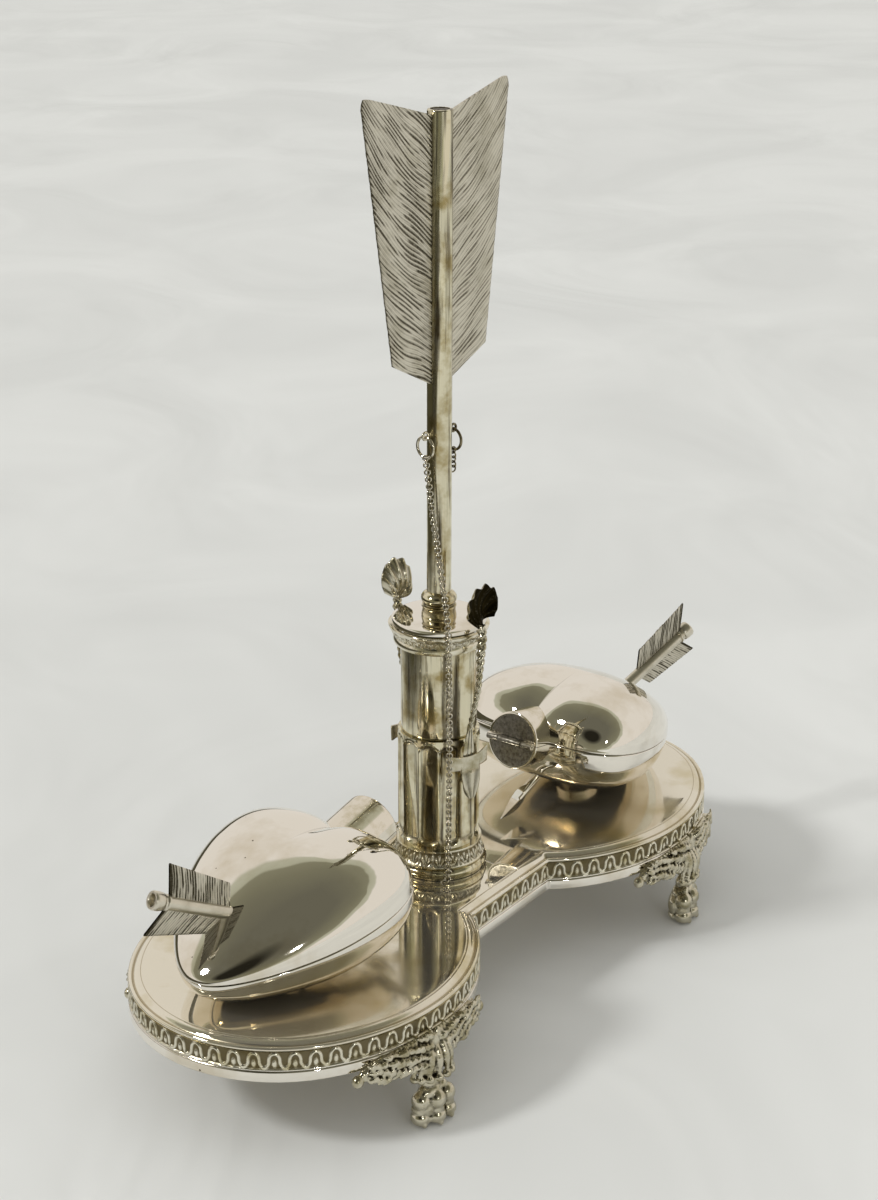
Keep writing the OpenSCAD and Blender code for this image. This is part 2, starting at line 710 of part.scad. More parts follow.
tray_plate();
tray_band();
tray_skirt();
foot(-1, -1);  // foot_front_left
foot(1, -1);  // foot_front_right
foot(-1, 1);  // foot_back_left
foot(1, 1);  // foot_back_right
foot_stud(-1, -1);  // foot_stud_front_left
foot_stud(1, -1);  // foot_stud_front_right
foot_stud(-1, 1);  // foot_stud_back_left
foot_stud(1, 1);  // foot_stud_back_right
quiver_foot();
quiver_foot_band();
quiver_body();
quiver_neck();
quiver_band();
quiver_lid();
tie_rod();
tie_nut();
arrow_shaft();
arrow_collar();
arrow_vane(-1);  // arrow_vane_left
arrow_vane(1);  // arrow_vane_right
ring_eye(-1);  // ring_eye_left
ring_eye(1);  // ring_eye_right
ring(-1);  // ring_left
ring(1);  // ring_right
chain();
chain_stub();
bracket(-1);  // bracket_front
bracket(1);  // bracket_back
spoon_bowl(-1);  // spoon_bowl_front
spoon_bowl(1);  // spoon_bowl_back
spoon_stem(-1);  // spoon_stem_front
spoon_stem(1);  // spoon_stem_back
heart_bowl(-1);  // heart_bowl_left
heart_bowl(1);  // heart_bowl_right
bowl_stub(-1);  // bowl_stub_left
bowl_stub(1);  // bowl_stub_right
heart_lid(-1);  // heart_lid_left
heart_lid(1);  // heart_lid_right
lid_stub(-1);  // lid_stub_left
lid_stub(1);  // lid_stub_right
hinge_pin(-1);  // hinge_pin_left
hinge_pin(1);  // hinge_pin_right
deck(-1);  // deck_left
deck(1);  // deck_right
pot(-1);  // pot_left
pot(1);  // pot_right
heart_rest(-1);  // heart_rest_left
heart_rest(1);  // heart_rest_right
heart_nut(-1);  // heart_nut_left
heart_nut(1);  // heart_nut_right
tail_arrow(-1);  // tail_arrow_left
tail_arrow(1);  // tail_arrow_right
head_arrow(-1);  // head_arrow_left
head_arrow(1);  // head_arrow_right
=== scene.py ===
"""A silver desk inkstand: two heart boxes and a quiver with an upright arrow on a footed tray."""
import math
from functools import partial

import bpy
import numpy as np
from mathutils import Matrix, Vector


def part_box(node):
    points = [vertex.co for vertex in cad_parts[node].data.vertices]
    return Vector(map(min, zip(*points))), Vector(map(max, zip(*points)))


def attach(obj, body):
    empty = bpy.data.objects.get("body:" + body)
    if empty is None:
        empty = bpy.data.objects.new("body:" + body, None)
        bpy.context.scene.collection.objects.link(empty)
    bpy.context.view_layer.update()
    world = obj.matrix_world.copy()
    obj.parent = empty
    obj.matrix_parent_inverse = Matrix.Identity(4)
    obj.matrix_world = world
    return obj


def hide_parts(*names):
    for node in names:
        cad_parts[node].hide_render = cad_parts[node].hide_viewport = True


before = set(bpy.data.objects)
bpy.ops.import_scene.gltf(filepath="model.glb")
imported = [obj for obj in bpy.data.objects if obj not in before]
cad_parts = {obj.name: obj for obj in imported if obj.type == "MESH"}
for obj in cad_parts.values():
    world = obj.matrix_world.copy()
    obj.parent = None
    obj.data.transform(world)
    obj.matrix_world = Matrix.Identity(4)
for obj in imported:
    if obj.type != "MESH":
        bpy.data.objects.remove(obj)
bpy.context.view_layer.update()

MM = 0.001
# The main sizes, in millimetres. The heights come from the frame.
PLATE_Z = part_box("tray_plate")[1].z / MM
QUIVER_YAW = math.radians(-9)
LOBE_X, LOBE_A, LOBE_B, LOBE_END_R, BRIDGE_W = 78, 64, 56.3, 52, 31.7
# A lobe's ends are arcs of LOBE_END_R about points END_OFF beside its middle, its sides wider arcs
END_OFF = LOBE_A - LOBE_END_R
SIDE_OFF = (END_OFF ** 2 - (LOBE_B - LOBE_END_R) ** 2) / (2 * (LOBE_B - LOBE_END_R))
SIDE_R = SIDE_OFF + LOBE_B
FOOT_X, FOOT_TURN = 84, math.radians(18)
HEART_X, HEART_Z, HEART_TILT = 89.2, 22.4, math.radians(10.7)
HEART_YAW = {-1: math.pi, 1: math.radians(-2.1)}
TIP_U, INNER_U, MID_W, EGG, BLUNT = 47, -35.5, 34.5, 0.34, 0.54
DOME_H, BOWL_H, WALL = 21.4, 19.5, 1.2
STUB_R = 10.8
STUB_END = {-1: -50, 1: -44.4}
SHAFT_R, SHAFT_TOP = 4.26, 270
LID_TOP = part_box("quiver_lid")[1].z / MM - PLATE_Z


# ---- Small helpers ----

def bare():
    """Leaves nothing selected or in edit mode."""
    if bpy.context.object and bpy.context.object.mode != "OBJECT":
        bpy.ops.object.mode_set(mode="OBJECT")
    bpy.ops.object.select_all(action="DESELECT")


def only(piece):
    """Selects one piece alone."""
    bare()
    piece.select_set(True)
    bpy.context.view_layer.objects.active = piece


def named(name):
    """Gives the piece just added its name."""
    piece = bpy.context.object
    piece.name = name
    piece.data.name = name
    return piece


def settle(piece):
    """Moves a piece's place into its mesh."""
    only(piece)
    bpy.ops.object.transform_apply(location=True, rotation=True, scale=True)
    return piece


def finish_with(piece, kind, **settings):
    """Adds one modifier and applies it."""
    only(piece)
    mod = piece.modifiers.new(kind.lower(), kind)
    for key, value in settings.items():
        setattr(mod, key, value)
    bpy.ops.object.modifier_apply(modifier=mod.name)


def joined(name, parts):
    """Joins several pieces into one."""
    bare()
    for part in parts:
        part.select_set(True)
    bpy.context.view_layer.objects.active = parts[0]
    bpy.ops.object.join()
    return named(name)


def mesh_of(name, points, edges, faces):
    """A new piece from points in metres and the edges or faces between them."""
    bare()
    bpy.ops.mesh.primitive_plane_add(size=1)
    piece = named(name)
    piece.data.clear_geometry()
    piece.data.from_pydata(points, edges, faces)
    return piece


def copied(piece, name):
    """A copy of a piece under its own name."""
    only(piece)
    bpy.ops.object.duplicate()
    return named(name)


def thrown_away(piece):
    """Deletes a piece that was only a pattern for others."""
    only(piece)
    bpy.ops.object.delete()


def edited(piece, *steps, pick="SELECT"):
    """Works mesh tools, each with its settings, on a piece: on all of it, on nothing or on its open edges."""
    only(piece)
    bpy.ops.object.mode_set(mode="EDIT")
    bpy.ops.mesh.select_all(action="SELECT" if pick == "SELECT" else "DESELECT")
    if pick == "OPEN":
        bpy.ops.mesh.select_non_manifold()
    for tool, settings in steps:
        tool(**settings)
    bpy.ops.object.mode_set(mode="OBJECT")
    return piece


def turned_outwards(piece, merge=0.00002):
    """Merges doubled points and points every face outwards."""
    return edited(piece, (bpy.ops.mesh.remove_doubles, {"threshold": merge}),
                  (bpy.ops.mesh.normals_make_consistent, {"inside": False}))


def closed(piece, tool=bpy.ops.mesh.edge_face_add, merge=0.00002):
    """Closes a piece's open edges with one tool and turns it outwards."""
    return turned_outwards(edited(piece, (tool, {}), pick="OPEN"), merge)


def smooth(piece, degrees):
    """Shades a piece smooth where it turns less than an angle."""
    only(piece)
    bpy.ops.object.shade_smooth_by_angle(angle=math.radians(degrees))


def coords(piece):
    """A mesh's points as rows of x, y and z, in metres."""
    co = np.empty(len(piece.data.vertices) * 3, np.float64)
    piece.data.vertices.foreach_get("co", co)
    return co.reshape(-1, 3)


def set_coords(piece, co):
    """Moves a mesh's points to new places, in metres."""
    piece.data.vertices.foreach_set("co", np.ascontiguousarray(co, np.float32).ravel())
    piece.data.update()


def mark(piece, name, values):
    """Stores one number per point, which a material can read."""
    layer = piece.data.attributes.get(name) or piece.data.attributes.new(name, "FLOAT", "POINT")
    layer.data.foreach_set("value", np.ascontiguousarray(values, np.float32).ravel())


def mark_recesses(piece, reach=6, gain=1.0, extra=0.0):
    """Marks the hollows of a piece, where tarnish stays when it is rubbed."""
    mesh = piece.data
    co = coords(piece)
    points = len(co)
    edges = np.empty(len(mesh.edges) * 2, np.int64)
    mesh.edges.foreach_get("vertices", edges)
    a, b = edges.reshape(-1, 2).T
    normals = np.empty(points * 3)
    mesh.vertices.foreach_get("normal", normals)
    normals = normals.reshape(-1, 3)
    count = np.maximum(np.bincount(a, minlength=points) + np.bincount(b, minlength=points), 1)
    step = co[b] - co[a]
    step = step / np.maximum(np.linalg.norm(step, axis=1), 1e-9)[:, None]
    rise_a, rise_b = (step * normals[a]).sum(1), (step * normals[b]).sum(1)
    hollow = (np.bincount(a, rise_a, points) - np.bincount(b, rise_b, points)) / count
    level = hollow
    for _ in range(reach):
        around = np.bincount(a, level[b], points) + np.bincount(b, level[a], points)
        level = 0.5 * level + 0.5 * around / count
    mark(piece, "recess", np.clip(np.clip(gain * (2.2 * hollow + 5 * level), 0, 1) + extra, 0, 1))


def sheet_of(name, nu, nv, place, merge=True):
    """A grid of nu by nv points, each put where place(u, v) says, for u and v from 0 to 1. Millimetres."""
    bare()
    bpy.ops.mesh.primitive_grid_add(x_subdivisions=nu - 1, y_subdivisions=nv - 1, size=2)
    piece = named(name)
    uv = (coords(piece)[:, :2] + 1) / 2
    set_coords(piece, np.stack(place(uv[:, 0], uv[:, 1]), 1) * MM)
    if merge:
        turned_outwards(piece)
    return piece


def thicken(piece, wall):
    """Gives a sheet its wall, inwards. Millimetres."""
    finish_with(piece, "SOLIDIFY", thickness=wall * MM, offset=-1)


def lathe(name, profile, steps):
    """Spins a profile of (radius, height above the tray) points about the quiver's axis."""
    points = [(r * MM, 0, (PLATE_Z + z) * MM) for r, z in profile]
    piece = mesh_of(name, points, [(k, k + 1) for k in range(len(points) - 1)], [])
    once_round = {"steps": steps, "angle": math.tau, "center": (0, 0, 0), "axis": (0, 0, 1)}
    return turned_outwards(edited(piece, (bpy.ops.mesh.spin, once_round)))


def arc_points(centre, radius, start, end, count):
    """Points of a profile's round stretch, angles in degrees."""
    angles = np.radians(np.linspace(start, end, count))
    return [(centre[0] + radius * math.cos(t), centre[1] + radius * math.sin(t)) for t in angles]


def way_along(points):
    """How far each point of a route is from its start."""
    return np.concatenate([[0], np.cumsum(np.linalg.norm(np.diff(points, axis=0), axis=1))])


def round_rod(name, start, end, r_start, r_end, sides=32, soft=0.0):
    """A straight rod between two points, with its ends softened. Millimetres."""
    start, end = Vector(start), Vector(end)
    way = end - start
    bare()
    bpy.ops.mesh.primitive_cone_add(vertices=sides, radius1=r_start * MM, radius2=r_end * MM,
                                    depth=way.length * MM, location=(start + end) / 2 * MM,
                                    rotation=way.to_track_quat("Z", "Y").to_euler())
    piece = settle(named(name))
    if soft:
        finish_with(piece, "BEVEL", width=soft * MM, segments=3, limit_method="ANGLE")
    return piece


def quiver_turn(co):
    """Turns points about the quiver's axis into its own direction."""
    c, s = math.cos(QUIVER_YAW), math.sin(QUIVER_YAW)
    x, y, z = co
    return c * x - s * y, s * x + c * y, z


def round_quiver(r, turn, z):
    """Points round the quiver's axis: radius, share of a turn and height above the tray."""
    return quiver_turn((r * np.cos(math.tau * turn), r * np.sin(math.tau * turn), PLATE_Z + z))


def heart_place(side, u, v, w):
    """A point of a heart's own frame: u to the tip, v across, w up from the seam."""
    x = HEART_X + u * math.cos(HEART_TILT) + w * math.sin(HEART_TILT)
    z = PLATE_Z + HEART_Z - u * math.sin(HEART_TILT) + w * math.cos(HEART_TILT)
    turn = HEART_YAW[side]
    return x * math.cos(turn) - v * math.sin(turn), x * math.sin(turn) + v * math.cos(turn), z


# ---- Materials ----

def linear(code):
    """An sRGB hex colour as linear red, green, blue and alpha."""
    parts = [int(code[k:k + 2], 16) / 255 for k in (1, 3, 5)]
    return tuple(c / 12.92 if c <= 0.04045 else ((c + 0.055) / 1.055) ** 2.4 for c in parts) + (1.0,)


def node(tree, kind, feeds=None, **settings):
    """Adds one node. A setting is one of its properties. A feed gives an input a value, another node's
    output, or another node, whose first output in use it takes."""
    made = tree.nodes.new(kind)
    for key, value in settings.items():
        setattr(made, key, value)
    for key, value in (feeds or {}).items():
        if isinstance(value, bpy.types.Node):
            value = next(output for output in value.outputs if output.enabled)
        if isinstance(value, bpy.types.NodeSocket):
            tree.links.new(made.inputs[key], value)
        else:
            made.inputs[key].default_value = value
    return made


def silver(name, clean, dull, dark, rough, patch_mm, dull_share, recess=0.0, wobble=0.0, scratch=0.0,
           grain_mm=0.6, bite=0.0, streak=0.0, painted_shade_circles=(), specks=0.0, film_share=0.0):
    """Solid silver: nearly white and mirror-like where it is rubbed, yellow-grey where a film of tarnish has
    settled in patches and brown-black in hollows. It can be streaked upright, have dark pits, and carry
    painted
    shade: brown circles, each given by its middle and radius in metres."""
    made = bpy.data.materials.new(name)
    made.use_nodes = True
    tree = made.node_tree
    tree.nodes.clear()
    add = partial(node, tree)
    place = add("ShaderNodeTexCoord").outputs["Object"]
    patches = add("ShaderNodeTexNoise", {"Vector": place, "Scale": 1 / (patch_mm * MM), "Detail": 4.0,
                                         "Roughness": 0.6})
    grain = add("ShaderNodeTexNoise", {"Vector": place, "Scale": 1 / (grain_mm * MM), "Detail": 5.0,
                                       "Roughness": 0.65})
    film = add("ShaderNodeMapRange", {"Value": patches, "From Min": 0.62 - 0.3 * dull_share,
                                      "From Max": 0.78 - 0.2 * dull_share})
    colour = add("ShaderNodeMix", {"Factor": film, "A": linear(clean), "B": linear(dull)}, data_type="RGBA")
    worn = add("ShaderNodeMath", {0: film, 1: grain}, operation="MULTIPLY")
    roughness = add("ShaderNodeMapRange", {"Value": worn, "From Max": 0.7, "To Min": rough[0],
                                           "To Max": rough[1]})
    dirt_and_painted_shade = []
    if recess:
        hollow = add("ShaderNodeAttribute", attribute_name="recess").outputs["Fac"]
        uneven = add("ShaderNodeMath", {0: grain, 1: 0.45}, operation="ADD")
        depth = add("ShaderNodeMath", {0: hollow, 1: uneven}, operation="MULTIPLY")
        dirt_and_painted_shade.append(add("ShaderNodeMapRange", {"Value": depth, "From Min": 0.05, "From Max": 0.75,
                                               "To Max": recess}))
    if streak:
        upright = add("ShaderNodeMapping", {"Vector": place, "Scale": (1, 1, 0.05)})
        runs = add("ShaderNodeTexNoise", {"Vector": upright, "Scale": 1 / (2.2 * MM), "Detail": 4.0,
                                          "Roughness": 0.6})
        dirt_and_painted_shade.append(add("ShaderNodeMapRange", {"Value": runs, "From Min": 0.49, "From Max": 0.68,
                                               "To Max": streak}))
    if specks:
        dots = add("ShaderNodeTexVoronoi", {"Vector": place, "Scale": 1 / (6 * MM)})
        size = add("ShaderNodeMapRange", {"Value": patches, "From Min": 0.5, "From Max": 0.7, "To Max": 0.11})
        inside = add("ShaderNodeMath", {0: dots, 1: size}, operation="LESS_THAN")
        dirt_and_painted_shade.append(add("ShaderNodeMath", {0: inside, 1: specks}, operation="MULTIPLY"))
    # painted shade: each circle browns the tray where a heart stands over it and shades it
    for x, y, radius in painted_shade_circles:
        away = add("ShaderNodeVectorMath", {0: place, 1: (x, y, PLATE_Z * MM)}, operation="DISTANCE")
        ragged = add("ShaderNodeMath", {0: patches, 1: -0.03, 2: away}, operation="MULTIPLY_ADD")
        dirt_and_painted_shade.append(add("ShaderNodeMapRange", {"Value": ragged, "From Min": radius - 0.012,
                                               "From Max": radius - 0.036, "To Max": 0.3}))
    # tarnish, pits, streaks and the painted shade of the circles each pull the colour towards the dark one
    for level in dirt_and_painted_shade:
        colour = add("ShaderNodeMix", {"Factor": level, "A": colour, "B": linear(dark)}, data_type="RGBA")
        rougher = add("ShaderNodeMapRange", {"Value": level, "To Max": 0.4})
        roughness = add("ShaderNodeMath", {0: roughness, 1: rougher}, operation="ADD")
    waves = add("ShaderNodeTexNoise", {"Vector": place, "Scale": 1 / (22 * MM), "Detail": 1.0})
    drawn = add("ShaderNodeMapping", {"Vector": place, "Rotation": (0.4, 0.7, 0.5), "Scale": (1, 14, 3)})
    hairs = add("ShaderNodeTexNoise", {"Vector": drawn, "Scale": 1 / (6 * MM), "Detail": 3.0})
    below = {}
    for height, depth_mm in ((waves, wobble), (hairs, scratch), (grain, bite)):
        if depth_mm:
            below = {"Normal": add("ShaderNodeBump", {**below, "Height": height, "Strength": 1.0,
                                                      "Distance": depth_mm * MM})}
    shader = add("ShaderNodeBsdfPrincipled", {"Base Color": colour, "Roughness": roughness,
                                              "Metallic": 1.0 - film_share, **below})
    add("ShaderNodeOutputMaterial", {"Surface": shader})
    return made


# Raised and burnished sheet: almost a mirror, a little wavy from the hammer, a thin yellow film in patches
POLISHED = silver("polished_silver", "#f1ece2", "#ddd4c2", "#453b26", (0.03, 0.12), 26, 0.4, recess=0.45,
                  wobble=0.05, scratch=0.001, specks=0.85)
# The stubs behind the hearts: the same sheet, brown and mottled
STUB = silver("stub_silver", "#ebe4d6", "#d0c6ac", "#2b2514", (0.06, 0.22), 8, 0.5, recess=1.0, wobble=0.02,
              scratch=0.002, grain_mm=1.2)
# The tray's flat top: a mirror dulled a little by years of wiping, with painted brown shade, blurred, under
# the hearts
TRAY_TOP = silver("wiped_silver_painted_shade", "#ebe5d5", "#cfc29c", "#8f7b48", (0.02, 0.1), 30, 0.5, recess=0.6,
                  wobble=0.012, scratch=0.0015, film_share=0.1,
                  painted_shade_circles=((-0.098, -0.024, 0.044), (0.064, -0.018, 0.044)))
# Rolled and soldered drum: brighter, streaked upright with brown
DRUM = silver("drum_silver", "#e2dbc0", "#ab9b6e", "#33281a", (0.05, 0.2), 9, 0.6, recess=0.9, wobble=0.02,
              scratch=0.002, grain_mm=0.8, streak=0.9)
# Cast silver: bright on its high points, yellow-grey on its slopes and black in its hollows
CAST = silver("cast_silver", "#d0cab6", "#a1997a", "#2a2413", (0.15, 0.34), 6, 0.6, recess=1.0,
              scratch=0.003, bite=0.03)
# Die-rolled border strip
BORDER = silver("rolled_border_silver", "#e6e1cf", "#c6bc98", "#6c6040", (0.16, 0.32), 6, 0.5, recess=0.92,
                scratch=0.001, bite=0.012)
# Engraved sheet: a dull, scratched pale grey with darker lines
CHASED = silver("engraved_silver", "#dad4c4", "#c9c3b1", "#3a341f", (0.28, 0.42), 9, 0.5, recess=0.95,
                scratch=0.0008, grain_mm=0.5, bite=0.03)
# Drawn wire, bent and closed into links and rings
WIRE = silver("drawn_silver_wire", "#e2dccb", "#a89d7e", "#1f190c", (0.08, 0.2), 1.6, 0.5, recess=1.0,
              scratch=0.001)
# The same wire where it was never rubbed: nearly black
OLD_WIRE = silver("tarnished_silver_wire", "#8f866c", "#4a4230", "#201b10", (0.16, 0.32), 1.6, 0.7,
                  scratch=0.001)
# Turned brass: yellow and evenly bright, for what is hidden under the tray
BRASS = silver("turned_brass", "#d9b565", "#a88745", "#4a3818", (0.2, 0.36), 5, 0.5, scratch=0.004)


def liner_glass():
    """Clear pressed glass: a faint grey-green body with a soft-edged shine."""
    made = bpy.data.materials.new("pressed_glass")
    made.use_nodes = True
    tree = made.node_tree
    shader = tree.nodes["Principled BSDF"]
    shader.inputs["Base Color"].default_value = linear("#dfe9e6")
    shader.inputs["IOR"].default_value = 1.5
    shader.inputs["Transmission Weight"].default_value = 0.9
    place = node(tree, "ShaderNodeTexCoord").outputs["Object"]
    cloud = node(tree, "ShaderNodeTexNoise", {"Vector": place, "Scale": 1 / (3 * MM), "Detail": 3.0})
    ripple = node(tree, "ShaderNodeBump", {"Height": cloud, "Strength": 1.0, "Distance": 0.05 * MM})
    blur = node(tree, "ShaderNodeMapRange", {"Value": cloud, "To Min": 0.04, "To Max": 0.16})
    tree.links.new(shader.inputs["Roughness"], blur.outputs["Result"])
    tree.links.new(shader.inputs["Normal"], ripple.outputs["Normal"])
    return made


# Clear glass for the two pots
GLASS = liner_glass()


def dress(piece, material, stands_for, body="stand", turn=40, hollows=None):
    """Smooths a new piece up to a turn in degrees, marks its hollows if asked (reach and gain), gives it its
    finish, hangs it on the body it rides on and hides the CAD parts it stands for."""
    smooth(piece, turn)
    if hollows:
        mark_recesses(piece, *hollows)
    piece.data.materials.clear()
    piece.data.materials.append(material)
    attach(piece, body)
    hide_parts(*stands_for)


def repaint(material, *names):
    """Gives CAD nodes that stay in view their finish."""
    for name in names:
        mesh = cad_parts[name].data
        mesh.materials.clear()
        mesh.materials.append(material)


# ---- The tray ----

def quarter(inset, fine=1):
    """A quarter of the outline moved in by inset, from the bridge round the lobe to its far end."""
    meet = math.degrees(math.atan2(SIDE_OFF, END_OFF))
    r = LOBE_END_R - inset
    join = 180 - math.degrees(math.asin((BRIDGE_W - inset) / r))
    bridge = LOBE_X - END_OFF + r * math.cos(math.radians(join))
    points = [(bridge * k / (6 * fine), BRIDGE_W - inset) for k in range(6 * fine)]
    points += arc_points((LOBE_X - END_OFF, 0), r, join, 180 - meet, 6 * fine + 1)[:-1]
    points += arc_points((LOBE_X, -SIDE_OFF), SIDE_R - inset, 180 - meet, meet, 30 * fine + 1)[:-1]
    points += arc_points((LOBE_X + END_OFF, 0), r, meet, 0, 18 * fine + 1)
    return np.array(points)


def outline(inset, fine=1):
    """The whole outline, once round, without its first point again."""
    q = quarter(inset, fine)
    back = q[::-1]
    return np.concatenate([q, back[1:] * (1, -1), -q[1:], (back * (-1, 1))[1:-1]])


def swept_round(name, section):
    """Loops of points round the tray, one for each (inset, height) of the section, bridged into walls. A
    section that doesn't come back to its start gets a flat face at each end."""
    loops = [np.column_stack([outline(i, 2), np.full(len(outline(i, 2)), PLATE_Z + z)]) for i, z in section]
    count = len(loops[0])
    faces = []
    for k in range(len(loops) - 1):
        a, b = k * count, (k + 1) * count
        faces += [(a + j, b + j, b + (j + 1) % count, a + (j + 1) % count) for j in range(count)]
    if section[0] != section[-1]:
        last = (len(loops) - 1) * count
        faces += [list(range(count))[::-1], [last + j for j in range(count)]]
    return turned_outwards(mesh_of(name, (np.concatenate(loops) * MM).tolist(), [], faces))


def make_tray_top():
    """The flat face, a thin cut line, a sloping border, a groove and a bead at the edge."""
    section = [(8.2, 0), (5.0, 0), (4.7, -0.02), (4.5, -0.16), (4.3, -0.04), (3.9, -0.08), (3.4, -0.22),
               (2.9, -0.46), (2.5, -0.75), (2.2, -1.05), (2.05, -1.35), (1.75, -1.5), (1.45, -1.3),
               (1.1, -1.0), (0.65, -1.02), (0.28, -1.35), (0.18, -1.8), (0.32, -2.2), (0.7, -2.4),
               (1.4, -2.4), (3.4, -2.4), (3.4, -1.2), (8.2, -1.2)]
    top = swept_round("tray_top", section)
    dress(top, TRAY_TOP, ["tray_plate"], turn=50, hollows=(2, 1.3))


# The border's ribbon from the top of an arch to the bottom of the link, as shares of the pitch and the height
ARCH = np.array([(0, 1), (0.07, 0.985), (0.14, 0.93), (0.205, 0.82), (0.25, 0.68), (0.27, 0.53), (0.272, 0.4),
                 (0.285, 0.27), (0.32, 0.14), (0.37, 0.05), (0.43, 0.01), (0.5, 0)])


# The border's repeats, and the heights of its lower and upper edge
BORDER_REPEATS, BORDER_LOW, BORDER_HIGH = 109, -8.9, -2.45


def border_height(s, z, pitch):
    """Height of the border's pattern: a ribbon of round arches with an egg in each."""
    x = np.abs((s / pitch) % 1.0 - 0.5) * pitch
    foot, crown = BORDER_LOW + 0.75, BORDER_HIGH - 0.8
    turns = np.linspace(0, len(ARCH) - 1, 61)
    line_x = np.interp(turns, range(len(ARCH)), ARCH[:, 0]) * pitch
    line_z = foot + np.interp(turns, range(len(ARCH)), ARCH[:, 1]) * (crown - foot)
    away = np.full(s.shape, 1e9)
    for px, pz in zip(line_x, line_z):
        away = np.minimum(away, (x - px) ** 2 + (z - pz) ** 2)
    ribbon = np.exp(-(away / 0.52 ** 2) ** 1.5)
    up = (z - foot) / (crown - foot)
    wide = 0.80 - 0.55 * np.clip(up - 0.2, 0, 1)
    egg = np.exp(-((x / wide) ** 2 + ((up - 0.27) / 0.29) ** 2) ** 1.6)
    edge = np.exp(-((z - BORDER_HIGH) / 0.22) ** 2) + np.exp(-((z - BORDER_LOW) / 0.3) ** 2)
    return np.clip(ribbon + 0.9 * egg + edge, 0, 1)


def make_tray_band():
    """The border strip round the tray, its pattern raised by 0.6 mm, with a plain back."""
    path = outline(0.75, 6)
    ahead = np.roll(path, -1, 0) - np.roll(path, 1, 0)
    out = np.column_stack([-ahead[:, 1], ahead[:, 0]]) / np.linalg.norm(ahead, axis=1)[:, None]
    path, out = np.vstack([path, path[:1]]), np.vstack([out, out[:1]])
    run = way_along(path)
    pitch = run[-1] / BORDER_REPEATS
    rows = 24
    heights = {}

    def place(u, v):
        s = u * run[-1]
        row = v * (rows + 2)
        front = row < rows - 0.5
        climb = BORDER_LOW + row / (rows - 1) * (BORDER_HIGH - BORDER_LOW)
        z = np.where(front, climb, np.where(row < rows + 0.5, BORDER_HIGH, BORDER_LOW))
        back = ~front & (row < rows + 1.5)
        h = border_height(s + 0.465 * pitch, z, pitch)
        heights["h"] = np.where(back, 0.6, h)
        lift = np.where(back, -1.0, 0.6 * h)
        x, y = (np.interp(s, run, path[:, k]) + lift * np.interp(s, run, out[:, k]) for k in (0, 1))
        return x, y, PLATE_Z + z

    piece = sheet_of("border_strip", BORDER_REPEATS * 26 + 1, rows + 3, place, merge=False)
    mark(piece, "recess", np.clip(1.0 - 1.3 * heights["h"], 0, 1))
    dress(turned_outwards(piece), BORDER, ["tray_band"], turn=60)


def make_tray_skirt():
    """The plain skirt under the border, with a fine line at its upper edge."""
    section = [(1.2, -8.8), (0.55, -8.8), (0.3, -8.95), (0.22, -9.2), (0.3, -9.45), (0.42, -9.55),
               (0.1, -9.75), (0.0, -10.1), (0.0, -13.0), (0.12, -13.3), (0.4, -13.4), (1.2, -13.4),
               (1.2, -8.8)]
    skirt = swept_round("tray_skirt_wall", section)
    dress(skirt, POLISHED, ["tray_skirt"], turn=50, hollows=(2, 1.5))


# ---- Feet ----

def blob(at, radii):
    """One rounded lump of a carved shape."""
    bpy.ops.mesh.primitive_uv_sphere_add(segments=16, ring_count=10, radius=MM, location=[c * MM for c in at])
    bpy.context.object.scale = radii
    return bpy.context.object


def leaflet(place, start, end, width, thick, bend, steps, tip):
    """A chain of lumps from start to end, swelling in the middle and narrowing to its tip."""
    lumps = []
    for k in range(steps + 1):
        t = k / steps
        along = [a + (b - a) * t for a, b in zip(start, end)]
        along[1] += bend * math.sin(math.pi * t)
        grow = (0.6 + 0.4 * math.sin(math.pi * min(1, t + 0.25))) * (1 - (1 - tip) * t)
        lumps.append(blob(place(*along), (width * grow, thick * grow, width * grow)))
    return lumps


def skirt_place(s, out, z):
    """A point beside the front right foot: s along the skirt, out from it, z up."""
    turn = math.pi / 2 - (FOOT_X - LOBE_X + s) / SIDE_R
    return LOBE_X + (SIDE_R + out) * math.cos(turn), SIDE_OFF - (SIDE_R + out) * math.sin(turn), z


def paw_place(x, out, z):
    """A point of the front right paw, turned a little outwards: x across, out from the skirt, z up."""
    c, s = math.cos(FOOT_TURN), math.sin(FOOT_TURN)
    return FOOT_X + x * c + out * s, -LOBE_B + x * s - out * c, z


def wing_edges(s):
    """The wing's lower and upper edge at a distance from its middle."""
    at = [0, 8, 18, 24, 28]
    return np.interp(s, at, [23.0, 23.4, 24.0, 24.8, 26.0]), np.interp(s, at, [34.4, 34.3, 33.4, 32.2, 29.8])


def paw_lumps():
    """The paw: one round mass with three toes, each an upper joint, a lower joint and a blunt claw."""
    lumps = [blob(paw_place(0, -1.3, 6.8), (8.0, 4.4, 6.8)), blob(paw_place(0, -1.2, 2.7), (7.8, 4.4, 2.7)),
             blob(paw_place(0, -0.9, 11.6), (6.4, 3.6, 3.0)), blob(paw_place(0, -1.0, 15.0), (4.2, 2.8, 3.2))]
    for k in (-1, 0, 1):
        back = 1.6 * abs(k)
        lumps += [blob(paw_place(5.3 * k, 1.8 - back, 3.0), (3.3, 3.5, 3.0)),
                  blob(paw_place(5.1 * k, 1.4 - back, 5.8), (3.0, 3.1, 2.8)),
                  blob(paw_place(5.0 * k, 1.8 - back, 9.0), (3.3, 3.4, 3.5)),
                  blob(paw_place(5.5 * k, 4.4 - back, 1.3), (0.9, 1.0, 1.2)),
                  blob(paw_place(3.4 * k, 0.8 - 0.6 * back, 12.6), (2.2, 1.9, 1.6))]
    return lumps


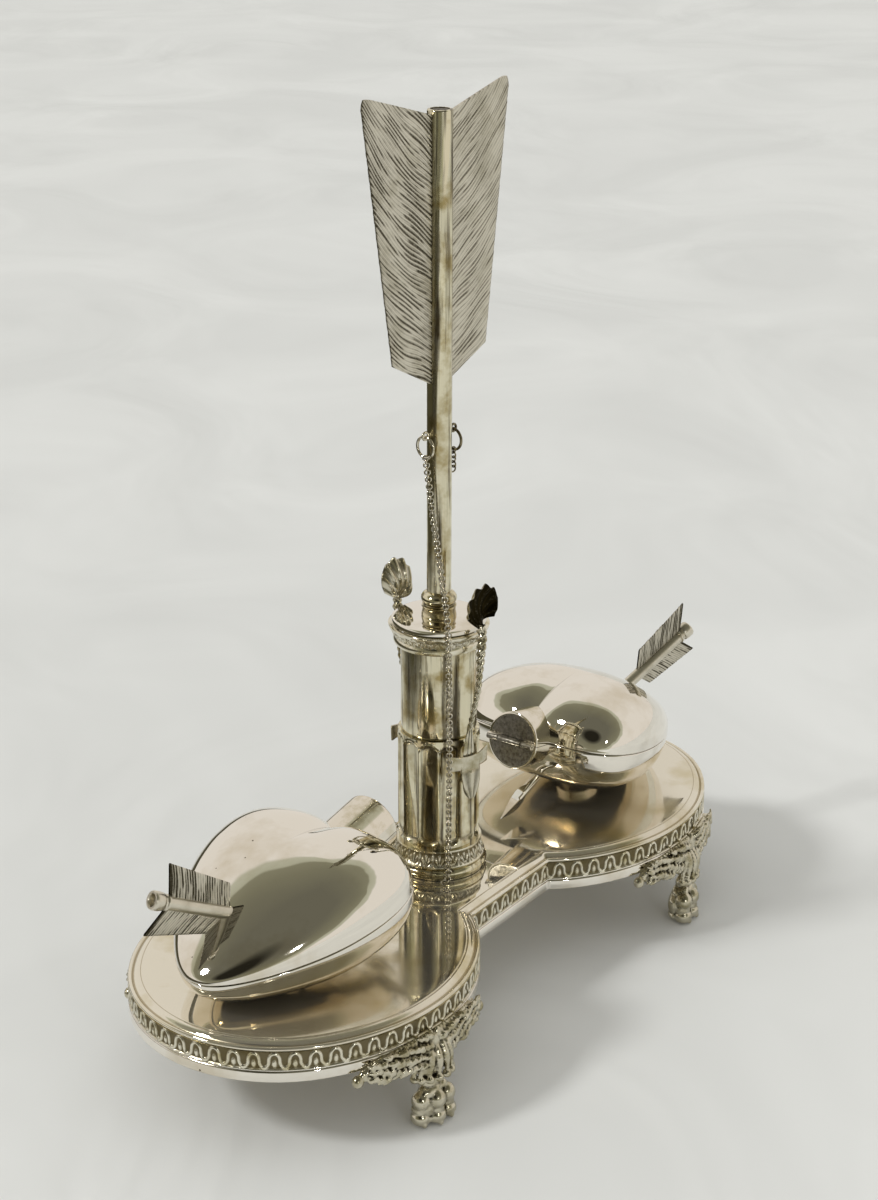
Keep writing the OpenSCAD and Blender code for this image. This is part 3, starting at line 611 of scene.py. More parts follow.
def knee_lumps():
    """The knee: a broad swelling with fat ribs that end in beads."""
    lumps = [blob(paw_place(0, 0.0, 22.4), (7.2, 3.3, 4.6)), blob(paw_place(0, 0.2, 28.5), (6.4, 2.0, 5.0))]
    for k in range(-3, 4):
        across, out = math.sin(math.radians(27 * k)), math.cos(math.radians(27 * k))
        lumps += leaflet(paw_place, (5.6 * across, 1.6 * out, 28.4), (7.8 * across, 4.2 * out - 0.8, 19.6),
                         1.5, 1.5, 1.2 * out, 8, 0.95)
        lumps.append(blob(paw_place(7.5 * across, 4.3 * out - 0.9, 17.9), (1.6, 1.6, 1.5)))
    return lumps


def wing_lumps(side):
    """A solid body over the skirt that narrows outwards, curled leaves on it and a ball at its end."""
    lumps = []
    for step in range(19):
        s = 1.5 + 1.5 * step
        low, top = wing_edges(s)
        for share in (0.3, 0.7):
            at = skirt_place(s * side, 0.5, low + share * (top - low))
            lumps.append(blob(at, (1.6, 1.5, 0.33 * (top - low))))
    for step in range(6):
        s = 6.0 + 3.9 * step
        lumps.append(blob(skirt_place(s * side, 1.1, wing_edges(s)[0] + 1.0), (2.4, 1.6, 1.6)))
    for step in range(58):
        s = 1.0 + 25.0 * ((step * 0.618 + 0.13 * (side + 1)) % 1.0)
        share = (step * 0.4142 + 0.3) % 1.0
        grow = 0.9 + 0.7 * ((step * 0.7321) % 1.0)
        low, top = wing_edges(s)
        z = low + 1 + (top - low - 1.4) * share
        tip = (s + 1.4 + 1.0 * grow) * side, 1.9 + 0.5 * grow, z + 3.0 * (share - 0.5) + math.sin(2.4 * step)
        lumps += leaflet(skirt_place, (s * side, 1.5, z), tip, 0.85 * grow, 0.9 * grow, 0.6, 3, 0.7)
    return lumps + [blob(skirt_place(28.6 * side, 0.7, 27.8), (1.7, 1.4, 1.6)),
                    blob(skirt_place(30.8 * side, 1.1, 26.7), (2.2, 2.0, 2.2))]


def make_feet():
    """A lion's paw under an acanthus spray, modelled once in lumps, run together and copied four times."""
    bare()
    foot = settle(joined("paw_foot", paw_lumps() + knee_lumps() + wing_lumps(-1) + wing_lumps(1)))
    finish_with(foot, "REMESH", mode="VOXEL", voxel_size=0.36 * MM)
    finish_with(foot, "SMOOTH", factor=0.5, iterations=2)
    co = coords(foot)
    co[:, 2] = np.maximum(co[:, 2], 0)
    set_coords(foot, co)
    for end, sx in (("right", 1), ("left", -1)):
        for face, sy in (("front", 1), ("back", -1)):
            other = copied(foot, f"paw_foot_{face}_{end}")
            set_coords(other, coords(other) * (sx, sy, 1))
            if sx * sy < 0:
                edited(other, (bpy.ops.mesh.flip_normals, {}))
            dress(other, CAST, [f"foot_{face}_{end}"], turn=180, hollows=(6, 1.15))
            repaint(CAST, f"foot_stud_{face}_{end}")
    thrown_away(foot)


# ---- The quiver ----

FLUTES = 12
BODY_R, NECK_R = 14.4, 13.4
FLUTE_LOW, FLUTE_HIGH = 11.0, 52.0


def palmette(t, v, count):
    """Height of a row of fans, each of five lobes that spread from the band's foot, for v from 0 to 1."""
    x = ((t * count) % 1.0 - 0.5) * 2
    y = v * 1.15
    lean = np.arctan2(x, y + 0.12)
    away = np.hypot(x, y)
    lobes = 0.5 + 0.5 * np.cos(lean * 9.5)
    fan = np.clip((1.02 - away) * 5, 0, 1) * np.clip(away * 4, 0, 1) * lobes
    between = np.exp(-(((np.abs(x) - 1) / 0.16) ** 2 + ((v - 0.62) / 0.34) ** 2))
    return np.clip(fan + between, 0, 1)


def relief_ring(name, low, profile, pattern, cover, repeats, replaced):
    """A cast ring 6.4 mm high, its radii given at heights, with a pattern over part of its height."""
    heights = {}

    def place(u, v):
        inside = (v > cover[0]) & (v < cover[1])
        heights["h"] = np.where(inside, pattern(u, (v - cover[0]) / (cover[1] - cover[0])), 1.0)
        z = low + 6.4 * v
        return round_quiver(np.interp(z, *zip(*profile)) + 0.5 * heights["h"], u, z)

    piece = sheet_of(name, repeats * 14 + 1, 22, place, merge=False)
    mark(piece, "recess", np.clip(1 - 1.3 * heights["h"], 0, 1))
    turned_outwards(piece)
    thicken(piece, 1.4)
    dress(piece, BORDER, [replaced], turn=60)


def make_quiver_bands():
    """The band of fans at the quiver's foot and the band of hanging leaves at its head."""
    foot = [(4.6, 16.0), (5.2, 16.0), (6.0, 15.6), (9.6, 14.6), (10.2, 14.9), (11.0, 14.9)]
    head = [(86.6, 13.9), (87.1, 14.15), (87.7, 13.9), (88.2, 13.7), (91.6, 15.2), (92.3, 15.7), (93.0, 15.8)]
    relief_ring("palmette_band", 4.6, foot, lambda u, v: palmette(u, v, 20), (0.12, 0.84), 20,
                "quiver_foot_band")
    relief_ring("leaf_band", 86.6, head, lambda u, v: palmette(u + 0.02, 1 - v, 18), (0.24, 0.86), 18,
                "quiver_band")


def make_quiver_body():
    """The fluted drum: twelve round hollows with arched heads, a thin raised line between two."""
    def place(u, v):
        z = FLUTE_LOW + v * (FLUTE_HIGH + 1 - FLUTE_LOW)
        x = ((u * FLUTES + 0.5) % 1.0 - 0.5) * 2
        arch = 2.6 * (1 - np.sqrt(np.clip(1 - (x / 0.98) ** 2, 0, 1)))
        top, foot = FLUTE_HIGH - 0.6 - arch, FLUTE_LOW + 1.4 + arch
        inside = np.clip((top - z) / 1.1, 0, 1) * np.clip((z - foot) / 1.4, 0, 1)
        hollow = 1.35 * np.sqrt(np.clip(1 - (x / 0.96) ** 2, 0, 1) * inside)
        return round_quiver(BODY_R - hollow + 0.22 * np.exp(-((z - top - 0.2) / 0.38) ** 2), u, z)

    piece = sheet_of("fluted_drum", FLUTES * 26 + 1, 96, place)
    thicken(piece, 1.2)
    dress(piece, DRUM, ["quiver_body"], turn=50, hollows=(4, 1.0))


def make_turned_rings():
    """The quiver's turned rings: its foot, its plain neck, its top disc and the collar under the arrow."""
    foot = [(1.6, 0), (15.4, 0), (16.6, 0.25)] + arc_points((15.6, 2.3), 1.75, -55, 70, 14) + [
        (15.9, 4.15), (15.6, 4.6), (10.6, 4.7), (1.6, 4.7), (1.6, 0)]
    neck = [(12.2, 53.0), (13.0, 53.0), (NECK_R - 0.1, 53.4), (NECK_R, 54), (NECK_R, 60), (NECK_R, 74),
            (NECK_R, 86.6), (12.2, 86.6), (12.2, 53.0)]
    disc = [(1.6, 93.0), (15.5, 93.0), (16.2, 93.15), (16.5, 93.6), (16.5, 94.5), (16.35, 94.9), (16.0, 95.1),
            (15.6, 95.2), (15.2, LID_TOP), (8, LID_TOP), (1.6, LID_TOP), (1.6, 93.0)]
    collar = [(1.6, LID_TOP), (5.9, LID_TOP), (6.1, 95.6), (6.05, 96.2), (5.75, 97.4), (5.8, 98.6),
              (6.1, 99.1), (6.0, 99.4), (5.3, 99.6), (5.2, 99.9)]
    collar += arc_points((4.1, 102.0), 2.15, -72, 78, 14) + [(4.27, 104.3), (1.6, 104.4), (1.6, LID_TOP)]
    for name, profile, steps, finish, node_name, turn, hollows in (
            ("quiver_foot_ring", foot, 128, DRUM, "quiver_foot", 40, (3, 1.0)),
            ("plain_drum", neck, 160, DRUM, "quiver_neck", 40, (3, 1.0)),
            ("top_disc", disc, 160, POLISHED, "quiver_lid", 30, (2, 1.0)),
            ("arrow_collar_bead", collar, 96, DRUM, "arrow_collar", 40, (3, 1.1))):
        dress(lathe(name, profile, steps), finish, [node_name], turn=turn, hollows=hollows)


# ---- The upright arrow ----

def make_shaft():
    """The arrow's rod, its edge softened and its top sunk a little inside a rim."""
    low, high = (0, 0, PLATE_Z + 104.2), (0, 0, PLATE_Z + SHAFT_TOP)
    piece = round_rod("arrow_rod", low, high, SHAFT_R, SHAFT_R, 96, 0.5)
    edited(piece, pick="NONE")
    top = max(piece.data.polygons, key=lambda f: f.center.z)
    top.select = True
    only(piece)
    bpy.ops.object.mode_set(mode="EDIT")
    bpy.ops.mesh.inset(thickness=0.5 * MM)
    bpy.ops.mesh.extrude_region_move(TRANSFORM_OT_translate={"value": (0, 0, -0.25 * MM)})
    bpy.ops.object.mode_set(mode="OBJECT")
    dress(piece, DRUM, ["arrow_shaft"], hollows=(1, 1.0))


def barbs(x, z, pitch, rise, curl, seed, share=0.6):
    """Depth of the cuts between a vane's barbs, which climb outwards and curl; some are deeper and broken."""
    drift = 0.5 * np.sin(0.23 * z + seed) + 0.35 * np.sin(0.5 * x - 0.17 * z + 2 * seed)
    climb = rise * x - 4.0 * curl * np.exp(-x / 3) + 0.02 * curl * np.clip(x - 12, 0, 99) ** 2
    phase = (z - climb) / pitch + drift * 0.6
    cell = np.floor(phase)
    part = phase - cell
    deep = np.abs(np.sin(cell * 12.9898 + seed) * 43758.5453) % 1.0
    begin = np.abs(np.sin(cell * 78.233 + seed) * 12543.21) % 1.0
    broken = np.clip(0.6 + 0.8 * np.sin(0.3 * x + 6.28 * begin) + 0.35 * np.sin(1.1 * x + 2.7 * cell), 0, 1)
    near = 0.75 + 0.25 * np.exp(-np.clip(x - 4, 0, 99) / 8)
    width = 0.17 + 0.13 * begin
    groove = np.exp(-((part - 0.35 - 0.3 * begin) / width) ** 2)
    groove = groove * (0.25 + share * near * (0.45 + deep) * broken)
    fine = phase * 2.0 + 0.3 * np.sin(0.4 * x + 0.6 * np.sin(0.13 * z))
    swell = np.sin(0.33 * x + 2.2 * np.sin(0.07 * z + seed) + 0.05 * z)
    hatch = np.exp(-(((fine % 1.0) - 0.5) / 0.26) ** 2) * (0.30 + 0.14 * swell)
    return np.clip(groove + hatch, 0, 1)


# A vane's corners: heights of its inner edge, its outer edge's heights, and where its lower corner is
VANE_INNER, VANE_OUTER, VANE_LOW_X = (179.0, 268.5), (188.8, 277.9), 22.5


def make_vane(side):
    """One engraved vane of the upright arrow, cut the same on both faces."""
    name, reach, far_cut, rim_depth = ("left", 36.3, 1.2, 0.7) if side < 0 else ("right", 33, 0.7, 0.4)

    def flat(u, v):
        low, high = (inner + u * (outer - inner) for inner, outer in zip(VANE_INNER, VANE_OUTER))
        z = low + v * (high - low)
        climb = np.clip((z - VANE_OUTER[0]) / (VANE_OUTER[1] - VANE_OUTER[0]), 0, 1)
        x_in = SHAFT_R - 0.3
        x = x_in + u * (VANE_LOW_X + (reach - VANE_LOW_X) * climb - x_in)
        ripple = 0.05 * np.sin(z * 0.9) + 0.04 * np.sin(z * 2.3 + 1)
        corner = np.clip((u - 0.86) / 0.14, 0, 1) * np.clip((v - 0.95) / 0.05, 0, 1)
        return x + ripple * np.clip((u - 0.9) * 10, 0, 1) - 1.3 * corner ** 1.5, z - 1.1 * corner ** 1.5

    halves = []
    for face in (-1, 1):
        cuts = {}

        def place(u, v):
            x, z = flat(u, v)
            flatter = np.interp(z, [185, 200, 230, 275], [0.45, 0.55, 0.65, 0.78])
            cut = barbs(x, z, 1.5, flatter, 0.7, 1.3 + side, far_cut)
            rim = np.clip((u - 0.975) / 0.025, 0, 1) * rim_depth
            cuts["c"] = np.clip(0.9 * cut + 0.7 * np.exp(-(u / 0.03) ** 2) + rim, 0, 1)
            half = (0.55 - 0.12 * u - 0.16 * cut) * np.clip((1 - u) * 40, 0.25, 1)
            return quiver_turn((side * x, face * half, PLATE_Z + z))

        sheet = sheet_of("vane_face", 95, 440, place, merge=False)
        mark(sheet, "recess", cuts["c"] * (0.8 if side < 0 else 0.72))
        halves.append(sheet)
    piece = closed(joined("vane_" + name, halves), bpy.ops.mesh.bridge_edge_loops, 0.000005)
    dress(piece, CHASED, ["arrow_vane_" + name], turn=60)


# ---- Brackets and spoons ----

SIDE_TURN = -9


def at_side(side, x, y, z):
    """A point beside the quiver: x along its bracket, y outwards is negative at the front."""
    turn = math.radians(SIDE_TURN) + (0 if side < 0 else math.pi)
    c, s = math.cos(turn), math.sin(turn)
    return quiver_turn((c * x - s * y, s * x + c * y, PLATE_Z + z))


def make_bracket(side, name):
    """A curved strap with raised pointed ends and a palmette hanging from its middle, on a short post."""
    marks = {}

    def place(u, v):
        a = 2 * u - 1
        pendant = np.sqrt(np.clip(1 - (np.abs(a) / 0.43) ** 2, 0, 1))
        bottom = np.minimum(44.0 + 1.5 * a ** 2, 43.6 - 11.4 * pendant ** 0.6)
        z = bottom + v * (48.2 + 1.5 * a ** 2 - bottom)
        x = 8.9 * a * (1 + 0.03 * v)
        inside = np.clip(43.2 - z, 0, 1) * (np.abs(a) < 0.43)
        ribs = (0.5 + 0.5 * np.cos(np.arctan2(x, z - 30.0) * 17)) * inside
        marks["r"] = 0.45 * inside * (1 - ribs)
        edge = np.clip(np.minimum(v, 1 - v) * 12, 0, 1)
        r = 18.7 + 0.35 * ribs + 0.5 * inside * pendant + 0.12 * edge
        return at_side(side, r * np.sin(x / 18.7), -r * np.cos(x / 18.7), z)

    strap = sheet_of("strap", 80, 34, place, merge=False)
    mark(strap, "recess", np.clip(marks["r"], 0, 1))
    turned_outwards(strap, 0.000004)
    thicken(strap, 0.55)
    post = round_rod("post", at_side(side, 0, -12.9, 38), at_side(side, 0, -18.5, 38), 1.6, 1.3, 24)
    dress(joined("bracket_strap_" + name, [strap, post]), CAST, ["bracket_" + name], turn=50)


def make_spoon_bowl(side, name):
    """The spoon's ribbed shell, brown on its hollow side."""
    lean = math.radians(8)
    faces = []
    for face, hollow in ((0, 0.0), (1, 0.8)):
        def place(u, v):
            a = np.radians(-104 + 208 * u)
            t = 0.04 + 0.96 * v
            rib = np.cos(11 * a)
            length = 17.0 * t * (1 + 0.035 * rib * t) * (1 - 0.24 * (a / 1.8) ** 2)
            across, up = 0.43 * length * np.sin(a), length * (0.48 + 0.48 * np.cos(a))
            y = -21.5 + 5.0 * np.sin(np.radians(160) * t) + 0.38 * rib * t - (0.75 - 0.35 * t) * face
            x = 2.6 + across * math.cos(lean) + up * math.sin(lean)
            return at_side(side, x, y, 95 + up * math.cos(lean) - across * math.sin(lean))

        sheet = sheet_of("shell_face", 90, 26, place, merge=False)
        mark(sheet, "hollow_side", np.full(len(sheet.data.vertices), hollow))
        faces.append(sheet)
    bowl = closed(joined("shell_" + name, faces), bpy.ops.mesh.bridge_edge_loops, 0.00001)
    hollow_side = np.empty(len(bowl.data.vertices), np.float32)
    bowl.data.attributes["hollow_side"].data.foreach_get("value", hollow_side)
    dress(bowl, CAST, ["spoon_bowl_" + name], "spoon_" + name, 60, (4, 1.2, hollow_side))


def make_spoon_stem(side, name):
    """The spoon's stem: a leaf-wrapped twist, a rope and a fluted fan that slips behind the bracket."""
    def centre(z):
        return np.interp(z, [40, 46, 58, 64, 74, 88, 97], [-17.25, -17.3, -17.7, -18.9, -21, -21, -20.8])

    def rope(u, v):
        a, z = 2 * math.pi * u, 58 + v * 39.5
        lean = np.interp(z, [40, 58, 74, 88, 98], [0, 0, 1.2, 2.2, 2.8])
        base = np.interp(z, [58, 64, 78, 80, 88, 93, 95.5, 97.5], [0.85, 0.9, 0.95, 1.0, 1.3, 1.5, 1.2, 0.8])
        r = base * (1 + 0.22 * np.cos(2 * (a - z * 1.15)))
        r = r + 0.16 * np.clip((z - 79) / 4, 0, 1) * np.abs(np.sin(3 * a + z))
        return at_side(side, lean + r * np.cos(a), centre(z) + r * np.sin(a), z)

    def fan(u, v):
        a, z = 2 * math.pi * u, 40.4 + v * 19
        wide = np.interp(z, [40.4, 41.5, 46, 52, 57, 59.4], [2.2, 3.2, 2.9, 2.1, 1.3, 0.9])
        thick = np.interp(z, [40.4, 46, 57, 59.4], [0.28, 0.36, 0.6, 0.8])
        ribs = 1 + 0.22 * np.cos(np.cos(a) * 9)
        return at_side(side, wide * np.cos(a), centre(z) + thick * ribs * np.sin(a), z)

    stem = closed(joined("stem_" + name, [sheet_of("rope", 33, 150, rope), sheet_of("fan", 61, 60, fan)]))
    dress(stem, CAST, ["spoon_stem_" + name], "spoon_" + name, 60, (3, 1.3))


# ---- The hearts ----

# Half of a heart's section: powers for its width and height, and the drop of its tip
SECTION = {1: (0.78, 0.85, 0.646), -1: (0.52, 0.9, 0.23)}


def heart_shell(side, u, v, up):
    """A half heart: u once round, v from seam to crown. The lid has a bead above the seam and a cleft."""
    around = 2 * np.abs(u - 0.5)
    sign = np.where(u < 0.5, 1, -1)
    t = math.pi * (1 - around ** 1.8)
    pu = (TIP_U + INNER_U) / 2 + (TIP_U - INNER_U) / 2 * np.cos(t)
    power = np.where(np.cos(t) < 0, BLUNT, 1.0)
    pv = sign * MID_W * np.abs(np.sin(t)) ** power * (1 - EGG * np.cos(t))
    wide, tall, drop = SECTION[up]
    height = DOME_H if up > 0 else BOWL_H
    f = math.pi / 2 * np.sin(math.pi / 2 * v ** 1.7)
    shrink = np.clip(np.cos(f), 0, 1) ** wide
    pu, pv = pu * shrink, pv * shrink
    fall = 1 - drop * np.clip((pu + 5) / 51, 0, 1) ** 1.6
    w = 0.1 + (height - 0.1) * np.clip(np.sin(f), 0, 1) ** tall * fall
    if up > 0:
        inner = np.clip((-4 - pu) / 28, 0, 1)
        w = w * (1 - 0.22 * np.exp(-(pv / 6) ** 2) * inner - 0.05 * np.exp(-np.abs(pv) / 1.2) * inner)
        out = 0.06 * np.exp(-((w - 0.62) / 0.3) ** 2) - 0.3 * np.exp(-(w / 0.2) ** 2)
    else:
        out = -0.3 * np.exp(-(w / 0.2) ** 2)
    far = np.maximum(np.hypot(pu, pv), 1)
    return heart_place(side, pu * (1 + out / far), pv * (1 + out / far), up * w)


def make_heart(side, name):
    """One heart box: a domed lid and a bowl, each with its half of the stub."""
    for up, part, body in ((1, "lid", "lid_" + name), (-1, "bowl", "stand")):
        shell = sheet_of(f"heart_{part}_shell_{name}", 241, 64, lambda u, v: heart_shell(side, u, v, up))
        thicken(shell, WALL)
        dress(shell, POLISHED, [f"heart_{part}_{name}"], body, 60, (2, 0.6))
        make_stub(side, name, up, part, body)


def hinge_leaf(side, pin, end, span, heights):
    """The small block that joins a knuckle of the hinge to the stub's wall."""
    bare()
    bpy.ops.mesh.primitive_cube_add(size=1)
    leaf = named("leaf")
    corners = [heart_place(side, pin if x < 0 else end + 0.3, span[y > 0], heights[z > 0])
               for x, y, z in coords(leaf)]
    set_coords(leaf, np.array(corners) * MM)
    return turned_outwards(leaf)


def make_stub(side, name, up, part, body):
    """Half of the short round stub, closed by its end disc, with its share of the hinge's knuckles."""
    inner = -27.5
    end = STUB_END[side]
    pin = end - 1.5

    def place(u, v):
        a = math.pi * u
        # v runs over the disc, round its edge and along the wall
        reach = np.interp(v, [0, 0.35, 0.42, 0.45, 1], [0, STUB_R - 0.5, STUB_R - 0.12, STUB_R, STUB_R])
        along = np.interp(v, [0, 0.35, 0.42, 0.45, 1], [end, end, end + 0.12, end + 0.5, inner])
        lift = 0.1 + reach * np.sin(a) * (STUB_R - 0.1) / STUB_R
        return heart_place(side, along, reach * np.cos(a), up * lift)

    parts = [sheet_of("stub_wall", 65, 60, place)]
    thicken(parts[0], 1.0)
    for span in ((-10, -5.1), (5.1, 10)) if up > 0 else ((-5, 5),):
        ends = [heart_place(side, pin, v, 0) for v in span]
        parts += [round_rod("knuckle", *ends, 1.3, 1.3, 40, 0.15),
                  hinge_leaf(side, pin, end, span, (0.45, 1.15) if up > 0 else (-1.15, -0.45))]
    piece = joined(f"stub_{part}_half_{name}", parts)
    # the end disc and the hinge are darkened brown; the disc's rim and the wall are not
    x, y, z = (coords(piece) / MM).T
    turn = HEART_YAW[side]
    flat = x * math.cos(turn) + y * math.sin(turn) - HEART_X
    lift = z - PLATE_Z - HEART_Z
    u = flat * math.cos(HEART_TILT) - lift * math.sin(HEART_TILT)
    w = flat * math.sin(HEART_TILT) + lift * math.cos(HEART_TILT)
    v = y * math.cos(turn) - x * math.sin(turn)
    disc = (u < end + 0.2) & (np.hypot(v, w) < STUB_R - 0.9)
    brown = np.where(disc, 0.62, 0.0)
    dress(piece, STUB, [f"{part}_stub_{name}"], body, 40, (3, 0.8, brown))


# ---- The arrows through the hearts ----

TAIL_ROOT = {-1: (-108, -2.2, 26), 1: (118, -4.5, 25)}
TAIL_TIP = {-1: (-142, 10.9, 43.2), 1: (153, -15.4, 43.6)}
HEAD_ROOT = {-1: (-57, 3, 13), 1: (57, -5, 12)}
HEAD_TIP = {-1: (-33, 5, 4.5), 1: (33, -5, 4.2)}


def along(root, tip, x, y, t):
    """A point beside a slanted rod: x up from it, y across, t along it in millimetres."""
    root, tip = Vector(root), Vector(tip)
    way = (tip - root).normalized()
    flat = Vector((way.x, way.y, 0)).normalized()
    cross = Vector((-flat.y, flat.x, 0))
    lift = way.cross(cross) * -1
    if lift.z < 0:
        lift = -lift
    base = [root[k] + (PLATE_Z if k == 2 else 0) for k in range(3)]
    return [base[k] + way[k] * t + lift[k] * x + cross[k] * y for k in range(3)]


# Each vane of a tail: up or down, where its front and back begin, how far these lean back, and its heights
TAIL_VANES = {-1: ((1, 30.0, 6.4, 3.4, 4.6, 8.3, 11.2), (-1, 30.0, 6.4, 4.2, 4.2, 6.2, 10.4)),
              1: ((1, 30.0, 5.0, 5.0, 6.6, 7.6, 10.2), (-1, 30.0, 6.4, 3.4, 4.6, 6.0, 8.4))}


def make_tail(side, name):
    """The feathered end of the arrow through a heart: rod, hollow nock and two engraved vanes."""
    root, tip = TAIL_ROOT[side], TAIL_TIP[side]
    length = (Vector(tip) - Vector(root)).length
    end = length - 0.4
    # rod with a ring, a groove and the hollow end of the nock
    profile = [(0.0, 0), (2.3, 0), (2.3, end - 6.2), (2.7, end - 6.0), (2.7, end - 5.2), (2.35, end - 4.9),
               (2.35, end - 4.3), (2.9, end - 3.9), (3.15, end - 2.4), (3.15, end - 0.4), (2.9, end),
               (2.2, end), (2.0, end - 0.5), (1.8, end - 2.2), (0.0, end - 2.4)]
    rows = np.arange(len(profile))

    def rod(u, v):
        r, t = (np.interp(v * rows[-1], rows, [p[k] for p in profile]) for k in (0, 1))
        return along(root, tip, r * np.cos(2 * math.pi * u), r * np.sin(2 * math.pi * u), t)

    parts = [sheet_of("rod", 49, 2 * len(profile) - 1, rod)]
    for up, front, back, front_lean, back_lean, front_h, back_h in TAIL_VANES[side]:
        for face in (-1, 1):
            cuts = {}

            def place(u, v):
                # u runs out from the rod, v along it from front to back
                start = length - front + front_lean * u
                t = start + v * (length - back + back_lean * u - start)
                high = front_h + (back_h - front_h) * v
                x = 1.7 + u * high
                rise = (front_lean + (back_lean - front_lean) * v) / high
                cut = barbs(x, t, 1.0, rise, 0.0, 0.7 + up, 1.15)
                cut = cut * np.clip(u * 12, 0, 1)
                rim = np.clip((v - 0.94) / 0.05, 0, 1)
                cuts["c"] = np.clip(cut + 0.8 * rim, 0, 1)
                half = (0.42 - 0.12 * cut + 0.1 * rim) * np.clip((1 - u) * 20, 0.4, 1)
                return along(root, tip, up * x, face * half, t)

            sheet = sheet_of("tail_vane", 26, 110, place, merge=False)
            mark(sheet, "recess", 0.9 * cuts["c"])
            parts.append(sheet)
    piece = edited(joined("tail_feathers_" + name, parts),
                   (bpy.ops.mesh.remove_doubles, {"threshold": 0.4 * MM}),
                   (bpy.ops.mesh.select_all, {"action": "SELECT"}),
                   (bpy.ops.mesh.normals_make_consistent, {"inside": False}), pick="OPEN")
    dress(piece, CHASED, ["tail_arrow_" + name], "lid_" + name, turn=50)


def make_head(side, name):
    """The arrow's point, which comes out of the bowl low over the tray: a rod and a ridged leaf."""
    root, tip = HEAD_ROOT[side], HEAD_TIP[side]
    length = (Vector(tip) - Vector(root)).length
    rod = round_rod("rod", along(root, tip, 0, 0, 0), along(root, tip, 0, 0, length - 12), 1.7, 1.5, 32)

    def place(u, v):
        a = 2 * math.pi * u
        wide = np.interp(v, [0, 0.1, 0.25, 0.4, 0.6, 1], [1.4, 2.4, 3.7, 4.1, 3.4, 0.05])
        thick = np.interp(v, [0, 0.3, 1], [1.5, 1.3, 0.05])
        across, up = (2 / math.pi * np.arcsin(wave) for wave in (np.cos(a), np.sin(a)))
        return along(root, tip, wide * across, thick * up, length - 19.5 + 19.5 * v)

    blade = closed(sheet_of("blade", 41, 40, place))
    dress(joined("arrowhead_" + name, [rod, blade]), POLISHED, ["head_arrow_" + name],
          turn=30, hollows=(2, 1.0))


# ---- The long chain ----

# Its way from the ring down to the tray, in millimetres above the tray's top
CHAIN_ROUTE = [(-6.72, 1.06, 154.5), (-8.2, -3.3, 133), (-10.4, -9, 110), (-12.2, -12.2, 98.5),
               (-13.1, -13.1, 94.4), (-14.8, -14.8, 52), (-14.8, -14.8, 42), (-13.5, -13.6, 8),
               (-13.4, -13.7, 3.4), (-14.4, -13.6, 1.5), (-17.2, -12.2, 1.5)]
LINK_WIDE, LINK_LONG, LINK_WIRE = 0.98, 0.89, 0.28
# The way the open links face, once round from the x axis
LINK_FACING = math.radians(-145)


def make_chain():
    """The long chain: one small square link, copied along its way, each turned a quarter from the last."""
    route = np.array(CHAIN_ROUTE)
    way = way_along(route)
    pitch = 2 * (LINK_LONG - LINK_WIRE)
    bare()
    bpy.ops.mesh.primitive_torus_add(major_segments=8, minor_segments=6, major_radius=1,
                                     minor_radius=LINK_WIRE, rotation=(0, 0, math.radians(22.5)))
    model = settle(named("link"))
    shape = coords(model)
    reach = np.hypot(shape[:, 0], shape[:, 1])
    middle = shape[:, :2] / reach[:, None]
    flat = middle * (LINK_WIDE, LINK_LONG) + middle * (reach - 1)[:, None]
    facing = np.array([math.cos(LINK_FACING), math.sin(LINK_FACING), 0])
    links = []
    for k in range(int(way[-1] / pitch)):
        ends = [np.array([np.interp((k + share) * pitch, way, column) for column in route.T])
                for share in (0.1, 0.9)]
        run = (ends[1] - ends[0]) / np.linalg.norm(ends[1] - ends[0])
        out = facing - run * (facing @ run)
        out /= np.linalg.norm(out)
        across = np.cross(run, out)
        if k % 2:
            out, across = across, -out
        place = (ends[0] + ends[1]) / 2 + (0, 0, PLATE_Z)
        links.append(copied(model, f"link_{k}"))
        set_coords(links[-1], (place + np.outer(flat[:, 0], across) + np.outer(flat[:, 1], run)
                               + np.outer(shape[:, 2], out)) * MM)
    thrown_away(model)
    piece = joined("long_chain", links)
    mark(piece, "recess", np.tile(np.clip((1.0 - reach) / LINK_WIRE, 0, 1), len(links)))
    dress(piece, WIRE, ["chain"], turn=180)


# ---- Making it all ----

make_tray_top()
make_tray_band()
make_tray_skirt()
make_feet()
make_turned_rings()
make_quiver_bands()
make_quiver_body()
make_shaft()
for s, label in ((-1, "front"), (1, "back")):
    make_vane(s)
    make_bracket(s, label)
    make_spoon_bowl(s, label)
    make_spoon_stem(s, label)
for s, label in ((-1, "left"), (1, "right")):
    make_heart(s, label)
    make_tail(s, label)
    make_head(s, label)
    repaint(WIRE, "hinge_pin_" + label)
    repaint(BRASS, "heart_nut_" + label)
    repaint(POLISHED, "deck_" + label, "heart_rest_" + label)
    repaint(GLASS, "pot_" + label)
make_chain()
repaint(WIRE, "ring_left", "ring_eye_left")
repaint(OLD_WIRE, "chain_stub", "ring_right", "ring_eye_right")
repaint(BRASS, "tie_rod", "tie_nut")


# ---- Floor, light and camera ----

def direction(around, up):
    """A direction of the room, angles in degrees."""
    a, e = math.radians(around), math.radians(up)
    return Vector((math.cos(e) * math.cos(a), math.cos(e) * math.sin(a), math.sin(e)))


